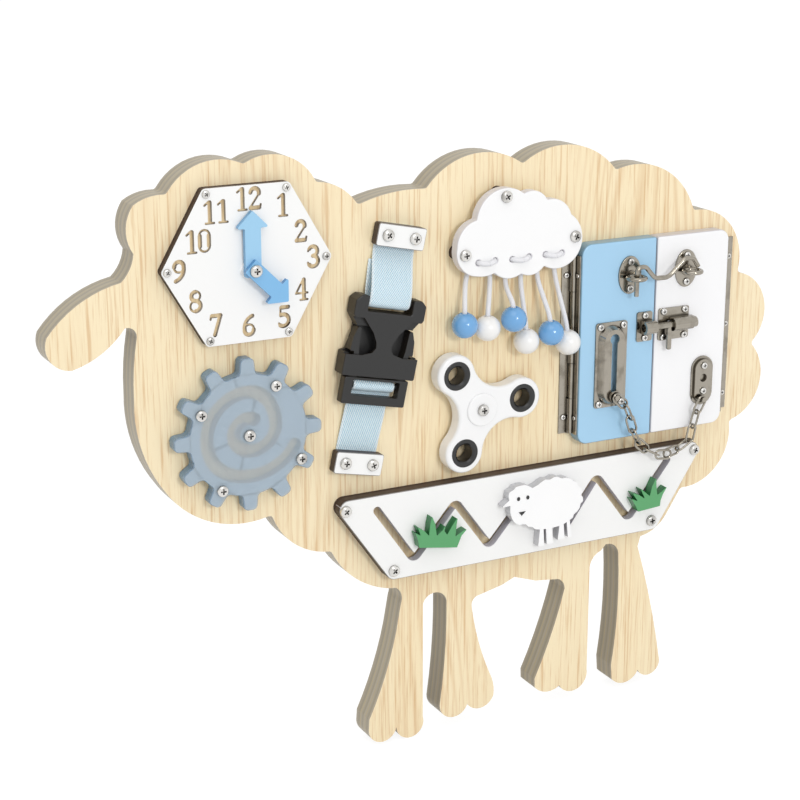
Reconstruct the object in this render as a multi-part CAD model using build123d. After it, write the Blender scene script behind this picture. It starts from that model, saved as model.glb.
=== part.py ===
"""Wooden busy board with a sheep outline: every separate piece, written to parts/*.step.

Millimetres. X runs right and Z up as the board hangs, Y runs into the wall.
The board's flat back is the plane y = 0; a height h is measured out from its front face.
"""

import math
import os

from build123d import *

# ---- driving dimensions -------------------------------------------------------------
T = 18.0  # board thickness
FIT = 0.03  # radial room of a screw in its hole
RUN = 0.06  # radial room of a turning or sliding fit

CLOCK = (-124.9, 128.0)
CLOCK_R = 51.4
CLOCK_PIVOT = (-123.2, 125.4)
SHEET = 3.0  # clock layers and track frame
HAND_WIDTH = 9.5
MINUTE_REACH = 33.4
HOUR_REACH = 27.6

GEAR = (-128.0, 29.4)
GEAR_TIP_R = 45.2
GEAR_ROOT_R = 36.0
GEAR_TEETH = 12
GEAR_LOW = 1.2
GEAR_T = 6.0
COVER_T = 2.0
GEAR_BORE = 3.0
SPIRAL_WIDTH = 8.0

STRAP_FOOT = (-58.3, 1.1)
STRAP_TURN = -12.0
STRAP_SPAN = 136.6
WEB_W = 27.0
WEB_T = 1.6
CLAMP = (31.5, 13.3, 6.3)
BUCKLE_H = (1.4, 11.4)
PLUG_H = (4.9, 10.6)

CLOUD_H = (5.5, 12.0)
CORD_D = 3.0
BEAD_D = 15.8

SPINNER = (22.1, 24.7)
LOBE_R = 12.7
WAIST_R = 15.5
RING_RADIUS = 28.6
RING_ANGLES = (126.6, 6.6, 246.6)
RING_OD = 17.8
RING_BORE = 11.0
SPINNER_H = (2.0, 12.0)

DOOR_X = (92.9, 202.3)
DOOR_Z = (-9.6, 118.1)
DOOR_H = (0.4, 9.2)
SEAM = 147.6
SEAM_GAP = 0.6
HINGE_X = 91.3  # left pin; the right one is mirrored about the seam
HINGE_H = 2.6
HINGE_Z = (-3.0, 111.0)
KNUCKLE_R = 1.5
PIN_R = 0.6

HOOK_X = (127.9, 169.7)
HOOK_PLATE_Z = 96.3
RING_Z = 95.5
RING_H = 16.5
BOLT_Z = 62.0
BOLT_H = 13.7
BOLT_R = 2.1
LINK_WIRE = 1.4
LINK_PITCH = 9.6
LINK_WIDTH = 7.0

TRACK_TOP = 9.0
SLOT_W = 5.2
SLOT_BEND = 3.0
PEG_D = 5.06
CHANNEL_W = 11.0
SHEEP_H = (9.3, 15.5)
GRASS_H = (9.3, 15.3)
RELIEF = 0.3  # eyes and nose above the sheep's face

MID = (Align.CENTER, Align.CENTER, Align.CENTER)
UP = (Align.CENTER, Align.CENTER, Align.MIN)
DOWN = (Align.CENTER, Align.CENTER, Align.MAX)

# screw sizes: shank diameter, head diameter, length
CLOCK_SCREW = (2.2, 4.6, 12.0)
PANEL_SCREW = (3.0, 7.2, 20.0)
COVER_SCREW = (2.4, 6.8, 7.0)
HINGE_SCREW = (2.0, 3.6, 9.0)
DOOR_SCREW = (2.0, 4.4, 7.0)
LEAF_SCREW = (1.6, 2.8, 8.0)
AXLE_SHANK, AXLE_HEAD = 4.0, 7.2

BOARD = [
    (-189.3, 92.5),
    ((-191.3, 97.1), (-196.0, 98.2)),
    ((-210.0, 85.3), (-226.7, 78.2)),
    ((-239.2, 85.4), (-240.0, 97.9)),
    ((-220.0, 115.4), (-197.0, 123.9)),
    ((-192.4, 129.5), (-189.2, 139.0)),
    ((-193.0, 152.0), (-188.5, 165.5)),
    ((-181.0, 169.0), (-169.4, 170.0)),
    ((-149.0, 185.5), (-123.8, 183.2)),
    ((-99.0, 186.0), (-80.0, 169.6)),
    ((-66.5, 165.9), (-54.0, 154.3)),
    ((-33.0, 159.5), (-10.0, 160.0)),
    ((20.0, 177.8), (55.0, 169.6)),
    ((88.0, 178.6), (121.3, 160.6)),
    ((160.0, 156.5), (180.5, 130.4)),
    ((208.0, 120.5), (216.9, 86.6)),
    ((239.6, 67.0), (230.7, 37.8)),
    ((240.3, 13.0), (216.3, -13.1)),
    ((208.3, -43.3), (179.8, -54.4)),
    (169.5, -70.5),
    ((163.0, -77.8), (149.5, -83.2)),
    (147.6, -90.0),
    ((160.0, -134.3), (168.6, -175.7)),
    ((161.4, -184.3), (151.4, -179.3)),
    ((142.9, -186.0), (130.7, -181.4)),
    (129.9, -171.0),
    ((133.3, -134.3), (132.6, -92.0)),
    ((128.5, -85.5), (122.5, -84.3)),
    (119.0, -88.0),
    ((113.6, -91.4), (110.7, -97.9)),
    (110.7, -170.0),
    ((102.9, -182.9), (89.8, -177.3)),
    ((80.0, -179.7), (71.0, -174.5)),
    (70.8, -168.3),
    ((82.5, -140.0), (92.0, -109.2)),
    ((90.8, -105.0), (86.7, -101.7)),
    (70.0, -99.7),
    (54.2, -94.2),
    (45.0, -98.0),
    (28.3, -101.7),
    ((24.2, -104.2), (23.3, -108.3)),
    ((30.0, -138.3), (37.5, -158.3)),
    ((40.0, -166.7), (40.0, -173.3)),
    ((33.3, -179.7), (20.8, -175.3)),
    ((11.7, -182.2), (0.8, -171.7)),
    ((4.2, -140.0), (5.3, -100.8)),
    ((-2.5, -94.0), (-11.3, -100.0)),
    (-11.3, -176.7),
    ((-19.0, -189.2), (-30.0, -180.0)),
    ((-40.0, -187.9), (-49.2, -176.7)),
    (-48.8, -170.8),
    ((-38.3, -145.0), (-30.0, -115.0)),
    (-26.7, -96.7),
    ((-27.5, -88.3), (-30.0, -85.8)),
    (-36.4, -84.8),
    ((-58.0, -74.0), (-73.5, -54.0)),
    ((-96.0, -46.0), (-111.5, -24.4)),
    ((-147.0, -23.2), (-176.2, 0.0)),
    ((-188.5, 24.5), (-192.5, 56.2)),
    ((-191.8, 75.0), (-189.3, 92.5)),
]
BOARD_CUSPS = [
    (-169.4, 170.0), (-123.8, 183.2), (-80.0, 169.6), (-54.0, 154.3), (-10.0, 160.0),
    (55.0, 169.6), (121.3, 160.6), (180.5, 130.4), (216.9, 86.6), (230.7, 37.8),
    (216.3, -13.1), (179.8, -54.4), (-73.5, -54.0), (-111.5, -24.4),
]

NUMERALS = {
    12: (-123.7, 164.9), 1: (-103.7, 159.6), 2: (-92.7, 144.0), 3: (-85.1, 128.5),
    4: (-92.7, 110.3), 5: (-103.6, 95.6), 6: (-125.2, 93.1), 7: (-144.8, 95.4),
    8: (-156.6, 110.2), 9: (-165.6, 128.0), 10: (-154.0, 143.7), 11: (-143.1, 159.2),
}
STEM_STROKE = 2.4
THIN_STROKE = 1.3
NUMERAL_SCALE = 1.05
NUMERAL_DEPTH = 2.2

# middle line of the spiral slot and places of the cover screws, from the toothed disc's centre
SPIRAL = [
    (3.9, 8.6), (-3.3, 8.7), (-8.9, 0.6), (-4.4, -8.0), (5.5, -9.8), (15.2, -3.2), (16.4, 10.8),
    (7.0, 23.6), (-12.0, 21.9), (-25.0, 2.0), (-19.5, -16.8), (-0.1, -25.0), (19.4, -19.9), (28.9, -10.2),
]
COVER_SCREWS = [(16.9, 27.3), (-28.8, 15.8), (-17.4, -30.6), (31.9, -18.6)]

CLOUD = [
    (4.5, 125.0),
    ((6.8, 113.6), (18.2, 107.0)),
    ((24.5, 106.6), (30.0, 107.9)),
    ((39.0, 103.6), (48.2, 105.7)),
    ((57.0, 104.3), (64.1, 108.8)),
    ((89.6, 117.2), (82.6, 138.6)),
    ((78.6, 145.2), (65.6, 148.9)),
    ((58.4, 154.8), (49.5, 154.0)),
    ((27.5, 155.8), (17.5, 140.8)),
    ((7.6, 134.6), (4.5, 125.0)),
]
CLOUD_CUSPS = [(30.0, 107.9), (48.2, 105.7), (64.1, 108.8), (82.6, 138.6), (65.6, 148.9),
               (49.5, 154.0), (17.5, 140.8)]
CLOUD_SCREWS = [(37.1, 153.2), (85.4, 124.9), (9.8, 120.6)]
STITCHES = [((18.7, 115.3), (30.1, 115.6)), ((41.8, 115.1), (53.5, 115.6)),
            ((64.8, 115.8), (76.4, 115.7))]
STRAND_EXITS = [(14.6, 105.0), (31.3, 104.4), (41.4, 98.9), (52.0, 101.2), (63.2, 101.8),
                (75.2, 105.2)]
BEADS = [(11.3, 77.7, 9.3), (26.9, 74.2, 9.3), (42.9, 78.7, 13.0), (54.1, 62.8, 9.3), (69.9, 66.8, 12.0),
         (83.8, 58.5, 9.3)]  # x, z and height of each centre

TRACK = [(-77.3, -20.3), (191.2, -20.3), (155.0, -76.0), (-38.3, -76.0)]
TRACK_SCREWS = [(-68.0, -26.7), (182.6, -25.8), (150.9, -69.3), (-36.0, -70.0)]
TRACK_PATH = [
    (-47.1, -29.7), (-22.3, -65.3), (6.2, -33.0), (30.2, -65.5), (59.0, -32.9),
    (83.6, -65.5), (108.0, -32.5), (133.0, -65.0), (161.7, -29.7),
]
SHEEP_PEG = (65.9, -42.0)
LEFT_GRASS_PEG = (-11.2, -52.7)
RIGHT_GRASS_PEG = (142.5, -53.3)

SHEEP = [
    (34.9, -39.6), (40.4, -35.6), (39.7, -33.1), (40.2, -30.6), (43.4, -29.1), (44.9, -27.6), (48.4, -27.1),
    (51.4, -27.2), (53.9, -28.2), (56.9, -30.1), (60.9, -28.6), (63.4, -27.1), (65.9, -26.0), (69.4, -26.6),
    (72.4, -25.3), (74.9, -25.6), (77.9, -27.1), (81.4, -27.1), (84.4, -28.4), (86.4, -30.1), (89.4, -31.6),
    (90.4, -34.1), (92.9, -36.1), (93.4, -39.1), (92.4, -40.1), (93.9, -42.1), (94.2, -44.6), (92.4, -46.1),
    (91.7, -48.9), (89.9, -51.1), (87.7, -52.4), (86.9, -54.6), (84.4, -55.9), (79.4, -58.2), (71.4, -58.9),
    (63.4, -58.6), (59.4, -57.6), (57.4, -55.9), (54.4, -55.1), (52.7, -53.4), (50.4, -52.6), (48.4, -53.1),
    (45.4, -51.6), (43.9, -50.1), (42.4, -47.6), (41.2, -43.6), (41.2, -39.1),
]
# top left, top right, bottom right and bottom left x of each leg, and the height it ends at
SHEEP_LEGS = [(63.3, 65.2, 66.2, 61.9, -69.6), (67.0, 71.1, 72.9, 68.1, -69.1),
              (77.6, 79.9, 81.2, 76.1, -67.6), (82.1, 84.4, 86.4, 83.6, -67.1)]
SHEEP_EYES = [(46.9, -35.6), (53.5, -35.6)]
SHEEP_NOSE = (49.6, -45.3)
LEFT_GRASS = [
    (-22.0, -55.7), (-22.8, -50.7), (-24.5, -45.7), (-20.9, -48.3), (-23.1, -42.1), (-18.0, -45.9),
    (-15.3, -49.3), (-14.7, -42.7), (-13.3, -36.9), (-11.1, -42.2), (-10.0, -50.1), (-6.0, -47.2),
    (-3.5, -43.3), (-4.8, -47.7), (-2.9, -50.7), (0.7, -45.2), (4.4, -40.5), (3.5, -46.2), (2.8, -52.7),
    (7.0, -50.5), (11.5, -48.7), (7.1, -52.9), (5.7, -56.2), (4.0, -60.0),
]
RIGHT_GRASS = [
    (136.5, -59.0), (134.5, -55.2), (130.9, -49.3), (136.1, -52.1), (131.5, -45.5), (137.0, -47.9),
    (141.5, -51.3), (137.5, -43.3), (142.0, -47.2), (145.0, -49.9), (146.5, -43.7), (149.5, -38.1),
    (149.9, -44.2), (150.8, -50.0), (155.0, -47.7), (158.8, -44.7), (155.1, -50.2), (153.5, -54.2),
    (153.2, -57.9),
]

# heading of each chain link in degrees, from the slider round to the anchor plate
LEFT_LINKS = (-42, -66, -70, -62, -42, -28, -8)
RIGHT_LINKS = (14, 30, 78, 74, 60)
LEFT_LINK_H = (17.3, 18.2, 16.9, 16.3, 15.2, 14.6, 15.2)
RIGHT_LINK_H = (12.8, 13.4, 14.0, 14.0, 14.0)
SLIDER_AT = (115.2, 21.0)


# ---- helpers ------------------------------------------------------------------------
def at(x, z, h=0.0, turn=0.0):
    """Place on the plane h above the front: local x right, y up, z toward the viewer."""
    plane = Plane(origin=(x, -(T + h), z), x_dir=(1, 0, 0), z_dir=(0, -1, 0))
    return plane.location * Rot(0, 0, turn)


def slab(face, low, high):
    """Plate between two heights, from a face drawn in (x, z)."""
    return extrude(at(0, 0, low) * face, amount=high - low, dir=(0, -1, 0))


def outline(steps):
    """Face from a closed run of corners; a (via, end) pair draws an arc."""
    here, edges = steps[0], []
    for step in [*steps[1:], steps[0]]:
        if isinstance(step[0], tuple):
            edges.append(ThreePointArc(here, *step))
            here = step[1]
        elif step != here:
            edges.append(Line(here, step))
            here = step
    return make_face(edges)


def soften(face, radius, corners=None):
    """Round all of a face's corners, or those next to the given points."""
    chosen = [
        v for v in face.vertices()
        if corners is None or any(math.hypot(v.X - x, v.Y - z) < 0.8 for x, z in corners)
    ]
    return fillet(chosen, radius)


def spot(x, z, radius):
    """Disc face at a place."""
    return Pos(x, z) * Circle(radius)


def band(edges, width):
    """Face of one width along edges, round at every end and joint."""
    face = Sketch()
    for edge in edges:
        face += trace(edge, width)
        for end in (edge @ 0, edge @ 1):
            face += spot(end.X, end.Y, width / 2)
    return face


def run(points, width):
    """Straight band through points, round at every corner."""
    return band([Line(a, b) for a, b in zip(points, points[1:])], width)


def tube(place, radius, low, high):
    """Round bar along the place's own z."""
    return place * Pos(0, 0, low) * Cylinder(radius, high - low, align=UP)


def screw(place, size):
    """Pan-head screw with a crossed recess, seated at the place."""
    shank, head, length = size
    rise = 0.3 * head
    cap = fillet(Cylinder(head / 2, rise, align=UP).edges().sort_by(Axis.Z)[-1], rise * 0.6)
    stem = chamfer(Cylinder(shank / 2, length, align=DOWN).edges().sort_by(Axis.Z)[0], shank / 4)
    recess = Box(head * 0.5, head * 0.14, rise, align=UP) + Box(head * 0.14, head * 0.5, rise, align=UP)
    return place * (cap + stem - Pos(0, 0, rise * 0.45) * recess)


def holes(part, places, size):
    """Take the screws' holes out of a part."""
    shank, _, length = size
    for place in places:
        part -= place * Cylinder(shank / 2 + FIT, length + 0.5, align=DOWN)
        part -= place * Cylinder(shank / 2 + FIT, 2.0, align=UP)
    return part


def group(solids):
    """Separate solids kept in one node."""
    kept = [piece for item in solids for piece in item.solids()]
    return Compound(children=kept)


def wire(points, radius, bend):
    """Round wire through points given as (x, z, h), with one bend radius or one for each corner."""
    corners = [Vector(x, -(T + h), z) for x, z, h in points]
    path = FilletPolyline(*corners, radius=bend) if len(corners) > 2 else Line(*corners)
    return sweep(Plane(origin=path @ 0, z_dir=path % 0) * Circle(radius), path=path)


def bends(points):
    """Fillet radii for a cord: 0.45 of the shorter run over the tangent of half the turn."""
    radii = []
    for a, b, c in zip(points, points[1:], points[2:]):
        back, ahead = Vector(*b) - Vector(*a), Vector(*c) - Vector(*b)
        turn = math.radians(back.get_angle(ahead))
        shorter = min(back.length, ahead.length, 60.0)
        radii.append(min(0.45 * shorter / math.tan(turn / 2), 60.0) if turn > 0.02 else 60.0)
    return radii


def cord(points, radius, label):
    """Soft cord through (x, z, h) points, each bend its own arc."""
    spots = [(x, -(T + h), z) for x, z, h in points]
    radii = bends(spots)
    print(label, "bend radii", [round(r, 1) for r in radii])
    edges, here = [], Vector(*spots[0])
    for i, radius_here in enumerate(radii):
        corner, ahead = Vector(*spots[i + 1]), Vector(*spots[i + 2])
        back_dir = (here - corner).normalized()
        next_dir = (ahead - corner).normalized()
        half = math.radians(180 - (-back_dir).get_angle(next_dir)) / 2
        reach = radius_here / math.tan(half)
        start, end = corner + back_dir * reach, corner + next_dir * reach
        middle_dir = (back_dir + next_dir).normalized()
        middle = corner + middle_dir * (radius_here / math.sin(half) - radius_here)
        edges += [Line(here, start), ThreePointArc(start, middle, end)]
        here = end
    edges.append(Line(here, Vector(*spots[-1])))
    path = Wire(edges)
    return sweep(Plane(origin=path @ 0, z_dir=path % 0) * Circle(radius), path=path)


# ---- assemblies ---------------------------------------------------------------------
def digit(n):
    """Generic numeral with thick stems and thin strokes, about 14 mm tall, centred on the origin."""
    arc, line = ThreePointArc, Line
    stems = {
        0: [line((-2.5, -2.7), (-2.5, 2.7)), line((2.5, 2.7), (2.5, -2.7))],
        1: [line((0.7, -5.2), (0.7, 5.2))],
        2: [arc((-2.3, 3.1), (0.6, 5.1), (2.4, 2.2)), line((-2.4, -5.2), (2.5, -5.2))],
        3: [arc((-2.2, 4.4), (2.4, 3.4), (-0.2, 0.4)), arc((-0.2, 0.4), (2.7, -3.2), (-2.4, -4.4))],
        4: [line((1.4, -5.2), (1.4, 5.2))],
        5: [line((2.3, 5.2), (-1.7, 5.2)), arc((-1.9, 1.0), (2.6, -2.1), (-2.4, -4.6))],
        6: [arc((2.0, 5.0), (-1.6, 2.2), (-2.6, -2.2)), arc((-2.6, -2.2), (0, -5.2), (2.6, -2.6))],
        7: [line((-2.4, 5.2), (2.5, 5.2)), line((2.3, 4.8), (-0.9, -5.2))],
        8: [arc((0, 0.4), (-2.3, 2.8), (0, 5.2)), arc((0, -5.2), (2.7, -2.4), (0, 0.4))],
    }
    thin = {
        0: [arc((-2.9, 2.7), (0, 5.7), (2.9, 2.7)), arc((2.9, -2.7), (0, -5.7), (-2.9, -2.7))],
        1: [line((0.2, 5.7), (-2.2, 3.8)), line((-1.7, -5.8), (2.9, -5.8))],
        2: [line((2.2, 1.8), (-2.7, -5.0)), line((2.9, -5.4), (3.3, -3.6))],
        3: [line((-2.6, 4.6), (-3.0, 3.2)), line((-2.8, -4.6), (-3.2, -3.2))],
        4: [line((1.0, 5.4), (-3.3, -2.1)), line((-3.3, -2.1), (3.5, -2.1)), line((-0.7, -5.8), (3.4, -5.8))],
        5: [line((-2.1, 5.2), (-2.4, 1.2)), line((-2.8, -4.8), (-3.2, -3.4))],
        6: [arc((2.7, -2.6), (0, 0.4), (-2.6, -2.0))],
        7: [line((-2.9, 5.4), (-3.2, 3.4))],
        8: [arc((0, 5.5), (2.6, 2.8), (0, 0.4)), arc((0, 0.4), (-3.0, -2.4), (0, -5.5))],
    }
    if n == 9:
        return Rot(0, 0, 180) * digit(6)
    return scale(band(stems[n], STEM_STROKE) + band(thin[n], THIN_STROKE), by=NUMERAL_SCALE)


def numeral(n):
    """One or two digits side by side."""
    if n < 10:
        return digit(n)
    return Pos(-4.3, 0) * digit(n // 10) + Pos(3.7, 0) * digit(n % 10)


def arrow(reach, turn):
    """Clock hand with a right-angled head, pointing along its turn."""
    half, wing, neck = HAND_WIDTH / 2, 9.9, reach - 9.9
    shape = Polygon(
        (-half, -4.2), (half, -4.2), (half, neck), (wing, neck), (0, reach), (-wing, neck),
        (-half, neck), align=None,
    )
    shape = soften(shape, 0.8)
    return Rot(0, 0, turn) * (shape - Circle(3.0 + RUN))


def bushing(centre, flange, radius, top, shank):
    """Sleeve on the board's face with a flange the moving piece rides on."""
    low, high = flange
    body = tube(at(*centre), radius, 0.0, top) + tube(at(*centre), radius + 2.6, low, high)
    return body - tube(at(*centre), shank / 2 + FIT, -1.0, top + 1)


def clock():
    """Hexagonal dial in two layers, six screws and two hands."""
    hexagon = soften(Pos(*CLOCK) * RegularPolygon(CLOCK_R, 6), 3.0)
    places = [(CLOCK[0] + 47.7 * math.cos(math.radians(a)), CLOCK[1] + 47.7 * math.sin(math.radians(a)))
              for a in range(0, 360, 60)]
    seats = [at(x, z, 2 * SHEET) for x, z in places]
    sleeve = spot(*CLOCK_PIVOT, 3.0 + FIT)
    backing = holes(slab(hexagon - sleeve, 0, SHEET), seats, CLOCK_SCREW)
    face = slab(hexagon - sleeve, SHEET, 2 * SHEET)
    for n, centre in NUMERALS.items():
        face -= slab(Pos(*centre) * numeral(n), 2 * SHEET - NUMERAL_DEPTH, 2 * SHEET + 1)
    return {
        "clock_backing_plate": backing,
        "clock_face_plate": holes(face, seats, CLOCK_SCREW),
        "clock_screws": group(screw(seat * Rot(0, 0, 17 * i), CLOCK_SCREW) for i, seat in enumerate(seats)),
        "minute_hand": slab(Pos(*CLOCK_PIVOT) * arrow(MINUTE_REACH, 0), 7.0, 10.0),
        "hour_hand": slab(Pos(*CLOCK_PIVOT) * arrow(HOUR_REACH, -135), 10.1, 13.1),
    }, seats


def gear():
    """Toothed disc with a spiral slot, its clear cover of the same outline and the cover screws."""
    face = Circle(GEAR_ROOT_R)
    for k in range(GEAR_TEETH):
        tooth = Polygon((GEAR_ROOT_R - 3, -5.0), (GEAR_TIP_R, -3.9), (GEAR_TIP_R, 3.9),
                        (GEAR_ROOT_R - 3, 5.0), align=None)
        face += Rot(0, 0, k * 360 / GEAR_TEETH) * tooth
    tips = [v for v in face.vertices() if math.hypot(v.X, v.Y) > GEAR_ROOT_R + 3]
    face = fillet(tips, 2.8)
    roots = [v for v in face.vertices() if math.hypot(v.X, v.Y) < GEAR_ROOT_R + 1]
    face = Pos(*GEAR) * fillet(roots, 3.0)
    low, high = GEAR_LOW, GEAR_LOW + GEAR_T
    disc = slab(face, low, high)
    disc -= slab(Pos(*GEAR) * band([Spline(*SPIRAL)], SPIRAL_WIDTH), low - 1, high + 1)
    disc -= slab(spot(*GEAR, GEAR_BORE + RUN), low - 1, high + 1)
    seats = [at(GEAR[0] + x, GEAR[1] + z, high + COVER_T) for x, z in COVER_SCREWS]
    cover = slab(face, high, high + COVER_T)
    cover = chamfer(cover.faces().sort_by(Axis.Y)[0].outer_wire().edges(), 0.4)
    cover -= slab(spot(*GEAR, GEAR_BORE + RUN), high - 1, high + COVER_T + 1)
    return {
        "gear_disc": holes(disc, seats, COVER_SCREW),
        "gear_cover": holes(cover, seats, COVER_SCREW),
        "gear_cover_screws": group(screw(seat, COVER_SCREW) for seat in seats),
    }


def on_strap(across, along, h=0.0):
    """Place on the strap's own axes: local x across it, y up along it."""
    return at(*STRAP_FOOT, h, STRAP_TURN) * Pos(across, along, 0)


def webbing(edges):
    """Band of webbing from a side profile drawn in (along, height)."""
    profile = Sketch()
    for edge in edges:
        profile += trace(edge, WEB_T)
    section = Plane.YZ * profile
    return at(*STRAP_FOOT, 0, STRAP_TURN) * extrude(section, WEB_W / 2, both=True)


def strap_slab(face, low, high):
    """Plate on the strap's axes between two heights."""
    return at(*STRAP_FOOT, low, STRAP_TURN) * extrude(face, amount=high - low, dir=(0, 0, 1))


def strap():
    """Clamps, two lengths of webbing and a side-release buckle."""
    flat, top = WEB_T / 2 + 0.05, WEB_T + 0.1
    seats = [on_strap(v, u, top + CLAMP[2]) for u in (0.0, STRAP_SPAN) for v in (-9.0, 9.0)]
    clamps = []
    for u in (0.0, STRAP_SPAN):
        plate = strap_slab(Pos(0, u) * RectangleRounded(CLAMP[0], CLAMP[1], 1.5), top, top + CLAMP[2])
        clamps.append(chamfer(plate.faces().sort_by(Axis.Y)[0].outer_wire().edges(), 0.4))
    bar_u, bar_h, bar_r = 97.8, 6.2, 2.3
    turn_r = bar_r + 0.1 + WEB_T / 2
    end = STRAP_SPAN + CLAMP[1] / 2
    upper = webbing([
        Line((end, flat), (128.0, flat)),
        Spline((128.0, flat), (114.0, 5.4), (bar_u + 3, bar_h + turn_r),
               tangents=((-1, 0), (-1, 0))),
        Line((bar_u + 3, bar_h + turn_r), (bar_u, bar_h + turn_r)),
        ThreePointArc((bar_u, bar_h + turn_r), (bar_u - turn_r, bar_h), (bar_u, bar_h - turn_r)),
        Spline((bar_u, bar_h - turn_r), (109.0, 2.4), (121.0, flat),
               tangents=((1, 0), (1, 0))),
    ])
    mid_u, mid_h, mid_r = 47.6, 5.2, 2.0
    loop_r = mid_r + 0.1 + WEB_T / 2
    tail_h = mid_h - loop_r + WEB_T + 0.1
    lower = webbing([
        Line((-CLAMP[1] / 2, flat), (8.0, flat)),
        Spline((8.0, flat), (22.0, 1.9), (34.0, mid_h - loop_r), tangents=((1, 0), (1, 0))),
        Line((34.0, mid_h - loop_r), (mid_u, mid_h - loop_r)),
        ThreePointArc((mid_u, mid_h - loop_r), (mid_u + loop_r, mid_h), (mid_u, mid_h + loop_r)),
        ThreePointArc((mid_u, mid_h + loop_r), (mid_u - loop_r * 0.7071, mid_h + loop_r * 0.7071),
                      (mid_u - loop_r, mid_h)),
        Spline((mid_u - loop_r, mid_h), (mid_u - loop_r - 1.4, tail_h), tangents=((0, -1), (-1, 0))),
        Line((mid_u - loop_r - 1.4, tail_h), (36.0, tail_h)),
    ])
    low, high = BUCKLE_H
    half = [(14.6, 92.0), (14.6, 101.0), (20.0, 101.0), (23.2, 98.0), (23.2, 89.5), (18.6, 83.5),
            (18.2, 77.0), (20.7, 67.6), (24.0, 66.6), (24.0, 53.3)]
    shell = soften(Polygon(*half, *[(-v, u) for v, u in reversed(half)], align=None), 1.2)
    receiver = strap_slab(shell, low, high)
    receiver = fillet(receiver.faces().sort_by(Axis.Y)[0].outer_wire().edges(), 0.8)
    cavity = [(20.6, 50.0), (20.6, 66.4), (30.0, 67.8), (30.0, 82.4), (14.0, 83.0)]
    receiver -= strap_slab(Polygon(*cavity, *[(-v, u) for v, u in reversed(cavity)], align=None),
                           low + 1.9, high - 1.2)
    window = Polygon((15.9, 88.0), (8.5, 79.9), (5.5, 74.4), (4.9, 70.9), (7.0, 67.9), (13.7, 66.0),
                     (30.0, 66.0), (30.0, 88.0), align=None)
    window = soften(window, 1.0, [(8.5, 79.9), (5.5, 74.4), (4.9, 70.9), (7.0, 67.9)])
    for face in (window, mirror(window, Plane.YZ)):
        receiver -= strap_slab(face, high - 3, high + 1)
    receiver += on_strap(0, bar_u, bar_h) * Rot(0, 90, 0) * Cylinder(bar_r, 29.6, align=MID)
    plug_low, plug_high = PLUG_H
    frame = Polygon((-21, 52.7), (21, 52.7), (21, 36.5), (-21, 36.5), align=None)
    frame = soften(frame, 1.2) - Pos(0, 46.5) * RectangleRounded(31.0, 9.6, 1.0)
    plug = strap_slab(frame, plug_low, plug_high)
    plug = fillet(plug.faces().sort_by(Axis.Y)[0].outer_wire().edges(), 0.6)
    plug += on_strap(0, mid_u, mid_h) * Rot(0, 90, 0) * Cylinder(mid_r, 32.0, align=MID)
    plug += strap_slab(Pos(0, 60.0) * Rectangle(9.0, 15.0), low + 2.4, high - 2.4)
    arm = Polygon((13.4, 52.8), (18.6, 52.8), (17.8, 62.0), (18.2, 67.9), (20.8, 67.9), (20.2, 76.0),
                  (18.0, 82.2), (16.0, 81.8), (15.4, 70.0), (13.4, 60.0), align=None)
    arm = soften(arm, 0.6)
    arms = [strap_slab(shape, low + 2.4, high - 1.4) for shape in (mirror(arm, Plane.YZ), arm)]
    return {
        "strap_clamp_plates": group(holes(clamp, seats, PANEL_SCREW) for clamp in clamps),
        "upper_strap": holes(upper, seats, PANEL_SCREW),
        "lower_strap": holes(lower, seats, PANEL_SCREW),
        "buckle_receiver": receiver,
        "buckle_plug": plug,
        "buckle_left_arm": arms[0],
        "buckle_right_arm": arms[1],
    }, seats


def cloud():
    """Cloud plate on spacers, three knotted cords and six beads."""
    low, high = CLOUD_H
    face = soften(outline(CLOUD), 1.2, CLOUD_CUSPS)
    seats = [at(x, z, high) for x, z in CLOUD_SCREWS]
    plate = slab(face, low, high)
    plate = fillet(plate.faces().sort_by(Axis.Y)[0].edges(), 0.8)
    for pair in STITCHES:
        for x, z in pair:
            bore = CORD_D / 2 + 0.25
            plate -= slab(spot(x, z, bore), low - 1, high + 1)
            plate -= at(x, z, high) * Cone(bore, bore + 0.5, 0.5, align=DOWN)
            plate -= at(x, z, low) * Rot(180, 0, 0) * Cone(bore + 0.15, 4.0, 3.2, align=DOWN)
    spacers = [slab(spot(x, z, 4.6), 0, low) for x, z in CLOUD_SCREWS]
    parts = {
        "cloud_plate": holes(plate, seats, PANEL_SCREW),
        "cloud_spacers": group(holes(spacer, seats, PANEL_SCREW) for spacer in spacers),
    }
    front, back = high + 2.5, low - CORD_D / 2 - 0.15
    for i, (exit_x, exit_z) in enumerate(STRAND_EXITS):
        pair = STITCHES[i // 2]
        hole, other = pair[i % 2], pair[1 - i % 2]
        gap = 0.1 if other[0] > hole[0] else -0.1
        middle = ((hole[0] + other[0]) / 2 - gap / 2, (hole[1] + other[1]) / 2)
        bead_x, bead_z, bead_h = BEADS[i]
        route = [(*middle, front), (*hole, front), (*hole, back), (exit_x, exit_z, back),
                 (bead_x, bead_z + BEAD_D / 2, bead_h), (bead_x, bead_z - 3.4, bead_h)]
        rope = cord(route, CORD_D / 2, f"cord_{i + 1}")
        knot = at(bead_x, bead_z - 4.2, bead_h) * Sphere(2.4)
        bead = at(bead_x, bead_z, bead_h) * Sphere(BEAD_D / 2)
        upright = at(bead_x, bead_z, bead_h) * Rot(90, 0, 0)
        bead -= upright * Cylinder(CORD_D / 2 + 0.55, BEAD_D + 2, align=MID)
        bead -= upright * Pos(0, 0, 1.6) * Cylinder(2.7, BEAD_D, align=UP)
        parts[f"cord_{i + 1}"] = rope + knot
        parts[f"bead_{i + 1}"] = bead
    return parts, seats


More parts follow.
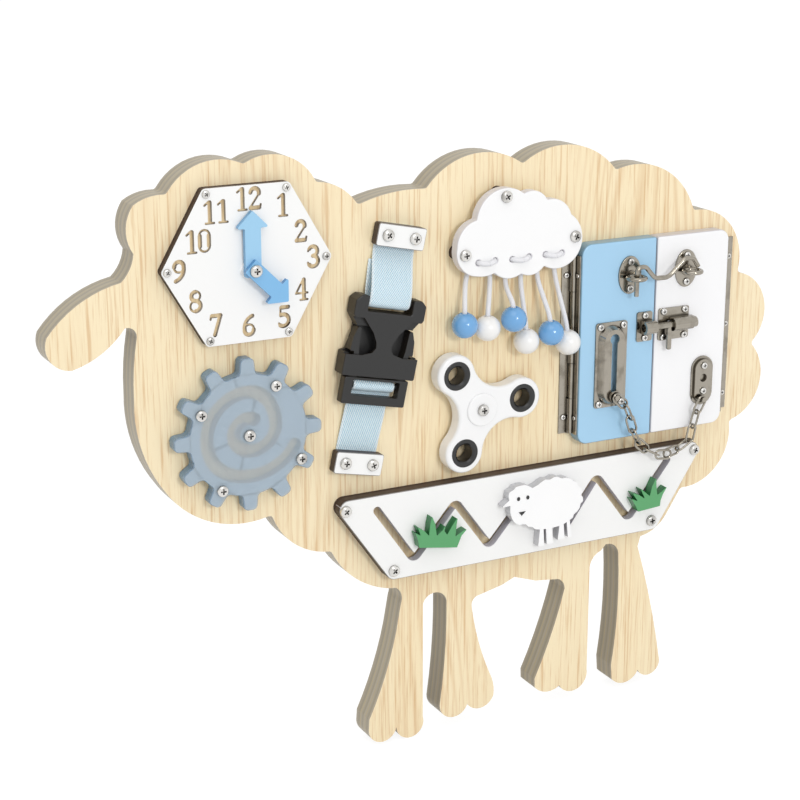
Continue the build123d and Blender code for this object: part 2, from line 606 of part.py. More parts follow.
def spinner():
    """Three-lobed spinner with pressed rings and a cap."""
    lobe, waist = LOBE_R, WAIST_R
    valley = (lobe**2 - RING_RADIUS**2 + RING_RADIUS * waist - waist**2) / (2 * waist - RING_RADIUS - 2 * lobe)
    reach = valley + waist
    edges = []
    for a in sorted(RING_ANGLES):
        def polar(radius, degrees):
            return Vector(radius * math.cos(math.radians(degrees)), radius * math.sin(math.radians(degrees)))
        centre = polar(RING_RADIUS, a)
        before, after = polar(reach, a - 60), polar(reach, a + 60)
        start = centre + (before - centre).normalized() * lobe
        end = centre + (after - centre).normalized() * lobe
        nxt = polar(RING_RADIUS, a + 120)
        onward = nxt + (after - nxt).normalized() * lobe
        edges.append(ThreePointArc(start, polar(RING_RADIUS + lobe, a), end))
        edges.append(ThreePointArc(end, polar(waist, a + 60), onward))
    face = Pos(*SPINNER) * make_face(edges)
    low, high = SPINNER_H
    body = slab(face, low, high)
    body = fillet(body.faces().sort_by(Axis.Y)[0].edges(), 2.0)
    body = fillet(body.faces().sort_by(Axis.Y)[-1].edges(), 1.0)
    body -= slab(spot(*SPINNER, 4.0 + RUN), low - 1, high + 1)
    rings = []
    for a in RING_ANGLES:
        x = SPINNER[0] + RING_RADIUS * math.cos(math.radians(a))
        z = SPINNER[1] + RING_RADIUS * math.sin(math.radians(a))
        body -= slab(spot(x, z, RING_OD / 2 + FIT), low - 1, high + 1)
        ring = slab(spot(x, z, RING_OD / 2) - spot(x, z, RING_BORE / 2), low - 0.2, high + 0.3)
        rim, mouth = ring.faces().sort_by(Axis.Y)[0].edges().sort_by(SortBy.RADIUS, reverse=True)
        ring = fillet(rim, 0.5)
        mouth = ring.faces().sort_by(Axis.Y)[0].edges().sort_by(SortBy.RADIUS)[0]
        rings.append(chamfer(mouth, 1.0))
    cap = slab(spot(*SPINNER, 10.25), high, high + 1.4)
    cap = fillet(cap.faces().sort_by(Axis.Y)[0].edges(), 0.8)
    return {
        "spinner_body": body,
        "spinner_ring_inserts": group(rings),
        "spinner_cap": cap - slab(spot(*SPINNER, 4.0 + RUN), high - 1, high + 2),
    }


def axles():
    """Centre screws and sleeves of the clock, the toothed disc and the spinner."""
    gear_top = GEAR_LOW + GEAR_T + COVER_T + 0.1
    sites = [(CLOCK_PIVOT, (6.0, 6.9), 3.0, 13.2), (GEAR, (0.0, GEAR_LOW - 0.1), GEAR_BORE, gear_top),
             (SPINNER, (0.0, 1.7), 4.0, 13.5)]
    seats = [at(*centre, top) for centre, _, _, top in sites]
    sizes = [(AXLE_SHANK, AXLE_HEAD, top + 12.0) for *_, top in sites]
    return {
        "axle_screws": group(screw(seat, size) for seat, size in zip(seats, sizes)),
        "axle_bushings": group(bushing(c, flange, r, top, AXLE_SHANK) for c, flange, r, top in sites),
    }, list(zip(seats, sizes))


def across_seam(part):
    """Mirror a piece to the other door."""
    return mirror(part, Plane(origin=(SEAM, 0, 0), z_dir=(1, 0, 0)))


def door_panel(side):
    """One door leaf; side -1 is the left door."""
    outer = DOOR_X[0] if side < 0 else DOOR_X[1]
    inner = SEAM + side * SEAM_GAP / 2
    x0, x1 = sorted((outer, inner))
    face = Polygon((x0, DOOR_Z[0]), (x1, DOOR_Z[0]), (x1, DOOR_Z[1]), (x0, DOOR_Z[1]), align=None)
    face = soften(face, 7.0, [(outer, DOOR_Z[0]), (outer, DOOR_Z[1])])
    face = soften(face, 1.2, [(inner, DOOR_Z[0]), (inner, DOOR_Z[1])])
    panel = slab(face, *DOOR_H)
    return fillet(panel.faces().sort_by(Axis.Y)[0].edges(), 1.2)


def hinge():
    """Left hinge: board leaf with three knuckles, door leaf with two, and the pin."""
    low, high = HINGE_Z
    step = (high - low) / 5
    def bar(face, z0, z1):
        """Profile in (x, h) drawn out along Z."""
        plane = Plane(origin=(0, -T, z0), x_dir=(1, 0, 0), z_dir=(0, 0, 1))
        flipped = mirror(face, Plane.XZ)
        return extrude(plane.location * flipped, amount=z1 - z0, dir=(0, 0, 1))
    knuckle = spot(HINGE_X, HINGE_H, KNUCKLE_R)
    board_web = knuckle + Pos(89.9, 1.3) * Rectangle(1.8, 2.6)
    door_web = knuckle + Pos(92.35, 3.6) * Rectangle(0.9, 2.4)
    board_leaf = bar(Pos((83.7 + 90.0) / 2, 0.45) * Rectangle(6.3, 0.9), low, high)
    door_leaf = bar(Pos(92.4, 6.05) * Rectangle(0.9, 3.9), low, high)
    for k in range(5):
        z0, z1 = low + k * step + 0.15, low + (k + 1) * step - 0.15
        if k % 2 == 0:
            board_leaf += bar(board_web, z0, z1)
        else:
            door_leaf += bar(door_web, z0, z1)
    board_leaf -= bar(spot(HINGE_X, HINGE_H, PIN_R + 0.02), low - 1, high + 1)
    door_leaf -= bar(spot(HINGE_X, HINGE_H, PIN_R + 0.05), low - 1, high + 1)
    pin = bar(spot(HINGE_X, HINGE_H, PIN_R), low, high)
    return board_leaf, door_leaf, pin


def doors():
    """Door pair with hinges, hook, bolt and chain guard."""
    heights = (98.5, 54.0, 7.5)
    board_leaf, door_leaf, pin = hinge()
    leaf_seats = [at(86.7, z, 0.9) for z in heights]
    edge = [Plane(origin=(91.95, -(T + 6.1), z), x_dir=(0, 0, 1), z_dir=(-1, 0, 0)).location for z in heights]
    board_leaf = holes(board_leaf, leaf_seats, HINGE_SCREW)
    door_leaf = holes(door_leaf, edge, LEAF_SCREW)
    left_edge_holes = [seat * Cylinder(LEAF_SCREW[0] / 2 + FIT, 9, align=DOWN) for seat in edge]
    left, right = door_panel(-1), door_panel(1)
    for drill in left_edge_holes:
        left -= drill
        right -= across_seam(drill)
    top = DOOR_H[1]
    left_seats, right_seats = [], []

    # cabin hook: two plates with a standing ring each, and the bent wire
    plates = []
    for side, x in enumerate(HOOK_X):
        plate_x = x + (-0.5 if side == 0 else -0.2)
        seats = [at(plate_x, HOOK_PLATE_Z + dz, top + 1.2) for dz in (-8.4, 8.4)]
        plate = slab(Pos(plate_x, HOOK_PLATE_Z) * Ellipse(8.2, 12.0), top, top + 1.2)
        plate = fillet(plate.faces().sort_by(Axis.Y)[0].edges(), 0.5)
        plate += slab(spot(x, RING_Z, 3.6), top, top + 2.0)
        plate += at(x, RING_Z, RING_H) * Rot(90, 0, 0) * Torus(5.5, 1.4)
        plates.append(holes(plate, seats, DOOR_SCREW))
        (left_seats if side == 0 else right_seats).extend(seats)
    hook_line = [(128.2, 84.0), (128.2, 101.8), (134.2, 102.2), (141.5, 94.0), (151.5, 93.6), (164.0, 104.4),
                 (170.0, 104.0), (173.8, 98.3)]
    hook = wire([(x, z, RING_H) for x, z in hook_line], 1.5, [3.0, 4.0, 6.0, 8.0, 5.0, 3.0])

    # barrel bolt: keeper on the left door, plate and rod on the right one
    def tunnel(x0, x1, radius, bore):
        plane = Plane(origin=(x0, -T, 0), x_dir=(0, -1, 0), z_dir=(1, 0, 0))
        ring = Pos(BOLT_H, -BOLT_Z) * Circle(radius)
        ring += Pos((BOLT_H + top) / 2, -BOLT_Z) * Rectangle(BOLT_H - top, 2 * radius)
        ring -= Pos(BOLT_H, -BOLT_Z) * Circle(bore)
        return extrude(plane.location * ring, amount=x1 - x0, dir=(1, 0, 0))
    keeper_seats = [at(139.6, z, top + 1.0) for z in (54.9, 69.1)]
    keeper = slab(Pos(139.5, 62.0) * RectangleRounded(11.4, 19.0, 1.4), top, top + 1.0)
    keeper += tunnel(136.6, 145.0, 4.2, 2.6)
    bolt_seats = [at(x, z, top + 1.0) for x in (153.6, 169.4) for z in (53.6, 70.0)]
    plate = slab(Pos(161.4, 61.8) * RectangleRounded(22.8, 20.6, 1.4), top, top + 1.0)
    plate += tunnel(158.0, 172.6, 4.2, BOLT_R + RUN)
    plate += tunnel(171.4, 175.6, 3.4, 0.1) - tunnel(170.0, 172.6, 5.0, 0.05)
    plate -= tunnel(157.0, 172.6, BOLT_R + RUN, 0.01)
    rod = Plane(origin=(145.6, -(T + BOLT_H), BOLT_Z), x_dir=(0, 1, 0), z_dir=(1, 0, 0)).location
    rod = rod * chamfer(Cylinder(BOLT_R, 25.0, align=UP).edges(), 0.4)
    rod += at(155.8, 46.0, BOLT_H) * Rot(-90, 0, 0) * fillet(
        Cylinder(1.75, 15.4, align=UP).edges().sort_by(Axis.Z)[0], 1.2)
    left_seats += keeper_seats
    right_seats += bolt_seats

    # chain guard: slot plate with its slider on the left door, anchor plate on the right one
    slot_x = SLIDER_AT[0]
    slot_seats = [at(x, z, top + 1.0) for x in (106.9, 123.5) for z in (15.6, 65.2)]
    slot_plate = slab(Pos(slot_x, 40.4) * RectangleRounded(23.0, 54.8, 2.0), top, top + 1.0)
    raised = extrude(SlotOverall(51.4, 18.8, rotation=90), amount=4.0, dir=(0, 0, 1), taper=29)
    slot_plate += at(slot_x, 40.2, top + 1.0) * raised
    inside = Pos(slot_x, 40.2) * SlotOverall(45.0, 11.6, rotation=90)
    slot_plate -= slab(inside, top - 1, top + 3.8)
    slot_plate -= slab(run([SLIDER_AT, (slot_x, 58.4)], 4.0) + spot(slot_x, 57.6, 3.3), top, top + 6)
    knob = at(*SLIDER_AT)
    slider = tube(knob, 2.95, top + 1.4, top + 3.4) + tube(knob, 1.9, top + 1.4, top + 6.2)
    slider += tube(knob, 3.7, top + 5.4, top + 7.0) + tube(knob, 0.9, top + 7.0, top + 9.3)
    slider += tube(knob, 1.7, top + 9.2, top + 10.0)
    anchor_seats = [at(185.4, z, top + 2.6) for z in (31.2, 14.4)]
    anchor = slab(Pos(185.4, 21.0) * SlotOverall(32.3, 16.5, rotation=90), top, top + 1.0)
    anchor += slab(Pos(185.4, 21.0) * SlotOverall(28.6, 12.8, rotation=90), top, top + 2.6)
    anchor -= slab(spot(185.4, 23.0, 2.7), top + 0.6, top + 6)
    left_seats += slot_seats
    right_seats += anchor_seats
    lead = math.radians(LEFT_LINKS[0])
    start = (slot_x - 0.4 * math.cos(lead), SLIDER_AT[1] - 0.4 * math.sin(lead))
    left_chain, tail = chain(start, LEFT_LINKS, LEFT_LINK_H)
    right_chain, head = chain((tail[0] - 1.6, tail[1] - 0.4), RIGHT_LINKS, RIGHT_LINK_H)
    lag = math.radians(RIGHT_LINKS[-1])
    post = at(head[0] - 0.5 * math.cos(lag), head[1] - 0.5 * math.sin(lag))
    anchor += tube(post, 0.85, top + 0.2, 15.3) + tube(post, 1.6, 15.2, 16.0)
    print("chain starts", start, "meets", tail, "ends", head)

    left, right = holes(left, left_seats, DOOR_SCREW), holes(right, right_seats, DOOR_SCREW)
    parts = {
        "left_door": left,
        "right_door": right,
        "hinge_board_leaves": group([board_leaf, across_seam(board_leaf), pin, across_seam(pin)]),
        "left_hinge_door_leaf": door_leaf,
        "right_hinge_door_leaf": across_seam(door_leaf),
        "hinge_board_screws": group(
            s for seat in leaf_seats for s in (screw(seat, HINGE_SCREW), across_seam(screw(seat, HINGE_SCREW)))),
        "left_door_screws": group([screw(seat, DOOR_SCREW) for seat in left_seats]
                                  + [screw(seat, LEAF_SCREW) for seat in edge]),
        "right_door_screws": group([screw(seat, DOOR_SCREW) for seat in right_seats]
                                   + [across_seam(screw(seat, LEAF_SCREW)) for seat in edge]),
        "hook_eye_plate_left": plates[0],
        "hook_eye_plate_right": plates[1],
        "cabin_hook": hook,
        "bolt_keeper": holes(keeper, keeper_seats, DOOR_SCREW),
        "bolt_plate": holes(plate, bolt_seats, DOOR_SCREW),
        "bolt_rod": rod,
        "chain_slot_plate": holes(slot_plate, slot_seats, DOOR_SCREW),
        "chain_slider": slider,
        "chain_left_links": left_chain,
        "chain_anchor_plate": holes(anchor, anchor_seats, DOOR_SCREW),
        "chain_right_links": right_chain,
    }
    return parts, leaf_seats


def chain(start, headings, heights):
    """Oval links nose to tail; every second one stands on edge. Returns them and the far end."""
    length = LINK_PITCH + LINK_WIRE + 0.9
    loop = SlotOverall(length, LINK_WIDTH - LINK_WIRE).wire()
    ring = sweep(Plane(origin=loop @ 0, z_dir=loop % 0) * Circle(LINK_WIRE / 2), path=loop)
    x, z = start
    links = []
    for i, (heading, height) in enumerate(zip(headings, heights)):
        dx = LINK_PITCH * math.cos(math.radians(heading))
        dz = LINK_PITCH * math.sin(math.radians(heading))
        on_edge = i % 2 == 1
        place = at(x + dx / 2, z + dz / 2, height, heading)
        links.append(place * Rot(90 if on_edge else 0, 0, 0) * ring)
        x, z = x + dx, z + dz
    return group(links), (round(x, 2), round(z, 2))


def track():
    """Track plate on its backing frame, with a sheep and two grass tufts on pegs."""
    face = soften(Polygon(*TRACK, align=None), 6.0)
    seats = [at(x, z, TRACK_TOP) for x, z in TRACK_SCREWS]
    middle = FilletPolyline(*TRACK_PATH, radius=SLOT_BEND).edges()
    slot = band(middle, SLOT_W)
    channel = run(TRACK_PATH, CHANNEL_W)
    frame = holes(slab(face - channel, 0, SHEET), seats, PANEL_SCREW)
    plate = slab(face, SHEET, TRACK_TOP)
    plate = chamfer(plate.faces().sort_by(Axis.Y)[0].edges(), 0.4)
    plate -= slab(slot, SHEET - 1, TRACK_TOP + 1)

    def peg(x, z):
        return tube(at(x, z), PEG_D / 2, 0.6, 9.6) + tube(at(x, z), 4.8, 0.5, 2.6)
    low, high = SHEEP_H
    body = soften(Polygon(*SHEEP, align=None), 0.4)
    for left, right, right_foot, left_foot, end in SHEEP_LEGS:
        body += Polygon((left, -54.0), (right, -54.0), (right_foot, end), (left_foot, end), align=None)
    sheep = slab(body, low, high) + peg(*SHEEP_PEG)
    for x, z in SHEEP_EYES:
        sheep += slab(Pos(x, z) * Ellipse(1.1, 1.3), high - RELIEF, high + RELIEF)
    x, z = SHEEP_NOSE
    nose = Polygon((x - 2.5, z + 0.9), (x + 2.5, z + 0.9), (x + 0.6, z - 0.9), (x - 0.4, z - 1.7),
                   (x - 0.8, z - 0.9), align=None)
    sheep += slab(nose, high - RELIEF, high + RELIEF)
    tufts = [slab(soften(Polygon(*shape, align=None), 0.3), *GRASS_H) + peg(*place)
             for shape, place in ((LEFT_GRASS, LEFT_GRASS_PEG), (RIGHT_GRASS, RIGHT_GRASS_PEG))]
    return {
        "track_frame": frame,
        "track_face_plate": holes(plate, seats, PANEL_SCREW),
        "sheep_slider": sheep,
        "left_grass_slider": tufts[0],
        "right_grass_slider": tufts[1],
    }, seats


def build():
    """Every node by name."""
    clock_parts, clock_seats = clock()
    strap_parts, clamp_seats = strap()
    cloud_parts, cloud_seats = cloud()
    track_parts, track_seats = track()
    axle_parts, axle_seats = axles()
    door_parts, leaf_seats = doors()
    panel_seats = clamp_seats + cloud_seats + track_seats
    board = slab(soften(outline(BOARD), 2.6, BOARD_CUSPS), -T, 0)
    board = holes(board, clock_seats, CLOCK_SCREW)
    board = holes(board, panel_seats, PANEL_SCREW)
    board = holes(board, leaf_seats, HINGE_SCREW)
    mirrored = [at(2 * SEAM - 86.7, z, 0.9) for z in (98.5, 54.0, 7.5)]
    board = holes(board, mirrored, HINGE_SCREW)
    for seat, size in axle_seats:
        board = holes(board, [seat], size)
    for x in (-120.0, 120.0):
        board -= slab(spot(x, 60.0, 4.0), -T - 1, -T + 8)
    screws = group(screw(seat * Rot(0, 0, 31 * i), PANEL_SCREW) for i, seat in enumerate(panel_seats))
    return {"board_panel": board, "panel_screws": screws, **clock_parts, **gear(), **strap_parts, **cloud_parts,
            **spinner(), **axle_parts, **door_parts, **track_parts}


def main():
    """Write one STEP file for each node."""
    os.makedirs("parts", exist_ok=True)
    parts = build()
    for name, shape in parts.items():
        export_step(shape, f"parts/{name}.step")
        print(name, len(shape.solids()), round(sum(s.volume for s in shape.solids()), 1))
    print("nodes", len(parts))


if __name__ == "__main__":
    main()
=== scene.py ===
import logging
import math
from dataclasses import dataclass, field
from enum import Enum
from typing import Any, Sequence

import bpy
import numpy as np
from mathutils import Matrix, Vector

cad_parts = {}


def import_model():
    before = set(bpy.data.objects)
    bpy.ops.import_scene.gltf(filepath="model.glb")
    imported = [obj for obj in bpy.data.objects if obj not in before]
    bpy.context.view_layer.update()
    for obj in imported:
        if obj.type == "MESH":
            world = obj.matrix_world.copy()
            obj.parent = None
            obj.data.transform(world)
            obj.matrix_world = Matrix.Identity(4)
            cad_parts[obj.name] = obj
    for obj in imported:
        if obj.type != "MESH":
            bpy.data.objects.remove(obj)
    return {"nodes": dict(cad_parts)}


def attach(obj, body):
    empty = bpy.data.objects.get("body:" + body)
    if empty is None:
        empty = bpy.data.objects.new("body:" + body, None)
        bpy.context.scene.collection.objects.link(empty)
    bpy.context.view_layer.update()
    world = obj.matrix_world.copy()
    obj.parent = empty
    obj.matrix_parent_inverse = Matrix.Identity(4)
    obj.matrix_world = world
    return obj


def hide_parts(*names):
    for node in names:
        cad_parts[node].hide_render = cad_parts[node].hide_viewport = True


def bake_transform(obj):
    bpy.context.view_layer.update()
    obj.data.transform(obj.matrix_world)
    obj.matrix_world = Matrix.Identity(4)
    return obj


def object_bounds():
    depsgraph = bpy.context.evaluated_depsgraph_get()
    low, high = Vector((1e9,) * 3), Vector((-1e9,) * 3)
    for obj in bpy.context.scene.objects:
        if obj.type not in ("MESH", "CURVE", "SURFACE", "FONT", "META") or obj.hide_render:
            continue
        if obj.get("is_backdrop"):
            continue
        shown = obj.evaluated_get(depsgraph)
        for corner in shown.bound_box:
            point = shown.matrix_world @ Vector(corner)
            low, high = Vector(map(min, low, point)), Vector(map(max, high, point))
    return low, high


LOG = logging.getLogger("busy_board")
MM = 0.001
BOARD_T = 18.0  # board thickness in mm; its front is the plane y = -18 mm
FULL_TURN = 2 * math.pi
STRAP_FOOT = (-58.3, 1.1)  # x and z in mm of the start of the strap's line
STRAP_TURN_DEG = -12.0  # lean of the strap's line from upright
EDGE_NORMAL = (0.62, 0.86)  # share of a normal through the plate: all cut edge below, all face above
GROWTH_BAND = 6.5 * MM  # from one growth band of the wood to the next


# ---- small tools ---------------------------------------------------------------------
def linear(code: str) -> tuple[float, float, float, float]:
    """Turns an sRGB hex code into linear colour.

    Args:
        code: Six hex digits, as in "EFDDB9".

    Returns:
        Red, green, blue and an alpha of 1.
    """
    part = [int(code[i : i + 2], 16) / 255 for i in (0, 2, 4)]
    return (*[c / 12.92 if c <= 0.04045 else ((c + 0.055) / 1.055) ** 2.4 for c in part], 1.0)


def place(x: float, z: float, h: float) -> tuple[float, float, float]:
    """Turns millimetres right, up and out from the board's front into a point in metres.

    Args:
        x: Right of the middle.
        z: Above the middle.
        h: Out from the front.

    Returns:
        The point.
    """
    return (x * MM, -(BOARD_T + h) * MM, z * MM)


def add(tree: bpy.types.NodeTree, kind: str, links: dict[Any, Any] | None = None, **settings: Any) -> bpy.types.Node:
    """Adds one shader node.

    Args:
        tree: The node tree it goes in.
        kind: The node's type without its "ShaderNode" start.
        links: Socket name or number to a value, or to an output socket to link from.
        settings: Attributes set on the node before its sockets.

    Returns:
        The new node.
    """
    new = tree.nodes.new("ShaderNode" + kind)
    for key, value in settings.items():
        setattr(new, key, value)
    for key, value in (links or {}).items():
        if isinstance(value, bpy.types.NodeSocket):
            tree.links.new(value, new.inputs[key])
        else:
            new.inputs[key].default_value = value
    return new


def maths(tree: bpy.types.NodeTree, operation: str, *values: Any, clamp: bool = False) -> bpy.types.NodeSocket:
    """Adds one sum and gives its result.

    Args:
        tree: The node tree.
        operation: A Math node operation, such as "MULTIPLY".
        values: Numbers or output sockets, in order.
        clamp: Keep the result from 0 to 1.

    Returns:
        The result's socket.
    """
    return add(tree, "Math", dict(enumerate(values)), operation=operation, use_clamp=clamp).outputs[0]


def blend_colour(tree: bpy.types.NodeTree, share: Any, first: Any, second: Any) -> bpy.types.NodeSocket:
    """Mixes two colours.

    Args:
        tree: The node tree.
        share: How much of the second shows, a number or socket.
        first: A colour or socket.
        second: A colour or socket.

    Returns:
        The mixed colour's socket.
    """
    return add(tree, "Mix", {0: share, 6: first, 7: second}, data_type="RGBA").outputs[2]


def ramp(tree: bpy.types.NodeTree, value: Any, low: float, high: float) -> bpy.types.NodeSocket:
    """Smooth step of a value: 0 below low, 1 above high, and 3t^2 - 2t^3 between.

    Args:
        tree: The node tree.
        value: The socket read.
        low: Where the step starts.
        high: Where it ends.

    Returns:
        The stepped value's socket.
    """
    return add(tree, "MapRange", {0: value, 1: low, 2: high}, interpolation_type="SMOOTHSTEP").outputs[0]


def scaled(tree: bpy.types.NodeTree, vector: bpy.types.NodeSocket, scale: Sequence[float],
           location: Sequence[float] = (0, 0, 0)) -> bpy.types.NodeSocket:
    """Scales and shifts a pattern's coordinates.

    Args:
        tree: The node tree.
        vector: The coordinates.
        scale: Factor on each axis.
        location: Shift after scaling.

    Returns:
        The new coordinates' socket.
    """
    return add(tree, "Mapping", {0: vector, 1: tuple(location), 3: tuple(scale)}).outputs[0]


def noise(tree: bpy.types.NodeTree, vector: bpy.types.NodeSocket, scale: float = 1.0, detail: float = 3.0,
          roughness: float = 0.5) -> bpy.types.NodeSocket:
    """Fractal noise from 0 to 1.

    Args:
        tree: The node tree.
        vector: Where it is read.
        scale: Cells to a unit of the coordinates.
        detail: Octaves.
        roughness: Weight of each next octave.

    Returns:
        The noise value's socket.
    """
    sockets = {"Vector": vector, "Scale": scale, "Detail": detail, "Roughness": roughness}
    return add(tree, "TexNoise", sockets).outputs[0]


@dataclass(frozen=True)
class Finish:
    """What every finish has: a name, and a shader that it fills in."""

    name: str

    def start(self) -> tuple[bpy.types.Material, bpy.types.NodeTree, bpy.types.Node, bpy.types.Node]:
        """Makes the empty material.

        Returns:
            The material, its tree, its surface shader and its coordinates node.
        """
        material = bpy.data.materials.new(self.name)
        material.use_nodes = True
        tree = material.node_tree
        tree.nodes.clear()
        shader = add(tree, "BsdfPrincipled")
        add(tree, "OutputMaterial", {0: shader.outputs[0]})
        return material, tree, shader, add(tree, "TexCoord")

    def relief(self, tree: bpy.types.NodeTree, shader: bpy.types.Node, height: bpy.types.NodeSocket,
               depth_mm: float) -> None:
        """Raises the surface by a pattern.

        Args:
            tree: The node tree.
            shader: The surface shader.
            height: The pattern, 0 to 1.
            depth_mm: The height of 1 in millimetres.
        """
        bump = add(tree, "Bump", {"Height": height, "Distance": depth_mm * MM, "Strength": 1.0})
        tree.links.new(bump.outputs[0], shader.inputs["Normal"])

    def edge_share(self, tree: bpy.types.NodeTree, coords: bpy.types.Node) -> bpy.types.NodeSocket:
        """1 on a plate's cut edges and 0 on its two faces, from how far the normal leans from the plate's own.

        Args:
            tree: The node tree.
            coords: The coordinates node.

        Returns:
            The share's socket.
        """
        facing = add(tree, "SeparateXYZ", {0: coords.outputs["Normal"]}).outputs[1]
        return maths(tree, "SUBTRACT", 1.0, ramp(tree, maths(tree, "ABSOLUTE", facing), *EDGE_NORMAL))

    def beyond(self, tree: bpy.types.NodeTree, spot: bpy.types.NodeSocket, centre_mm: tuple[float, float],
               radius_mm: float) -> bpy.types.NodeSocket:
        """1 farther than a radius from an axis through the board, 0 nearer.

        Args:
            tree: The node tree.
            spot: Object coordinates.
            centre_mm: The axis in x and z.
            radius_mm: The radius.

        Returns:
            The share's socket.
        """
        shift = (-centre_mm[0] * MM, 0.0, -centre_mm[1] * MM)
        flat = add(tree, "VectorMath", {0: scaled(tree, spot, (1, 0, 1), shift)}, operation="LENGTH").outputs[1]
        return ramp(tree, flat, (radius_mm - 0.1) * MM, (radius_mm + 0.1) * MM)

    def build(self) -> bpy.types.Material:
        """Makes the material. Each finish has its own."""
        raise NotImplementedError


def grain(tree: bpy.types.NodeTree, coords: bpy.types.Node, pale: str, warm: str, line: str
          ) -> tuple[bpy.types.NodeSocket, bpy.types.NodeSocket]:
    """Upright softwood grain: a slow drift of tone, arched growth bands and short fine pores.

    The growth bands are sin(2 pi (x + wander) / 6.5 mm), where wander is slow noise stretched 5 times along the
    grain, so that the bands close into arches where it peaks.

    Args:
        tree: The node tree.
        coords: The coordinates node.
        pale: Hex of the palest wood.
        warm: Hex of the warmer bands.
        line: Hex of the darkest lines.

    Returns:
        The colour's socket and the height's.
    """
    spot = coords.outputs["Object"]
    drift = noise(tree, scaled(tree, spot, (22, 22, 4)), detail=2)
    wander = noise(tree, scaled(tree, spot, (13, 13, 2.6)), detail=1.5)
    across = add(tree, "SeparateXYZ", {0: spot}).outputs[0]
    phase = maths(tree, "MULTIPLY_ADD", wander, 0.085, across)
    bands = maths(tree, "SINE", maths(tree, "MULTIPLY", phase, FULL_TURN / GROWTH_BAND))
    bands = maths(tree, "POWER", maths(tree, "MULTIPLY_ADD", bands, 0.5, 0.5), 2.6)
    strength = ramp(tree, noise(tree, scaled(tree, spot, (16, 16, 3), (3, 1, 7)), detail=2), 0.38, 0.7)
    pores = noise(tree, scaled(tree, spot, (620, 620, 17)), detail=4, roughness=0.62)
    pore = ramp(tree, pores, 0.5, 0.66)
    fleck = ramp(tree, noise(tree, scaled(tree, spot, (1100, 1100, 42), (5, 5, 5)), detail=2), 0.6, 0.78)
    base = blend_colour(tree, drift, linear(pale), linear(warm))
    for mark, weight in ((maths(tree, "MULTIPLY", bands, strength), 0.34), (pore, 0.5), (fleck, 0.45)):
        base = blend_colour(tree, maths(tree, "MULTIPLY", mark, weight), base, linear(line))
    hollow = maths(tree, "MULTIPLY_ADD", pore, 0.6, maths(tree, "MULTIPLY", bands, 0.25))
    return base, maths(tree, "SUBTRACT", 1.0, hollow)


@dataclass(frozen=True)
class VeneeredBoard(Finish):
    """Thick plywood with a pale pine veneer under satin lacquer; its cut edge is drawn a greyer brown, which is
    painted shade.

    Veneer is sliced, so its lines run one way; the edge shows the plies as stripes through the thickness.
    """

    pale: str = "F9EAC8"
    warm: str = "F3DFB6"
    line: str = "CC9A5E"
    # Edge colours: the ply and glue stripes are the wood's own, and their grey-brown tone is painted shade on the
    # side faces.
    edge: str = "B8AD97"
    edge_dark: str = "9E937D"
    glue: str = "C0AD78"

    def build(self) -> bpy.types.Material:
        """Makes the material."""
        material, tree, shader, coords = self.start()
        face, height = grain(tree, coords, self.pale, self.warm, self.line)
        spot = coords.outputs["Object"]
        depth = add(tree, "SeparateXYZ", {0: spot}).outputs[1]
        through = maths(tree, "MULTIPLY", depth, -1000 / BOARD_T)
        plies = add(tree, "ValToRGB", {0: through})
        stripes = plies.color_ramp
        stops = [(0.24, self.edge_dark), (0.29, self.edge), (0.33, self.glue), (0.36, self.edge),
                 (0.52, self.edge_dark), (0.56, self.edge), (0.65, self.edge), (0.68, self.glue), (0.71, self.edge),
                 (0.86, self.edge_dark), (0.93, self.edge)]
        for end in stripes.elements:
            end.color = linear(self.edge)
        for where, code in stops:
            stop = stripes.elements.new(where)
            stop.color = linear(code)
        fuzz = noise(tree, scaled(tree, spot, (260, 2200, 260)), detail=3)
        edge = blend_colour(tree, maths(tree, "MULTIPLY", fuzz, 0.35), plies.outputs[0], linear(self.edge_dark))
        side = self.edge_share(tree, coords)
        tree.links.new(blend_colour(tree, side, face, edge), shader.inputs["Base Color"])
        shader.inputs["Roughness"].default_value = 0.46
        shader.inputs["Coat Weight"].default_value = 0.15
        shader.inputs["Coat Roughness"].default_value = 0.3
        self.relief(tree, shader, height, 0.05)
        return material


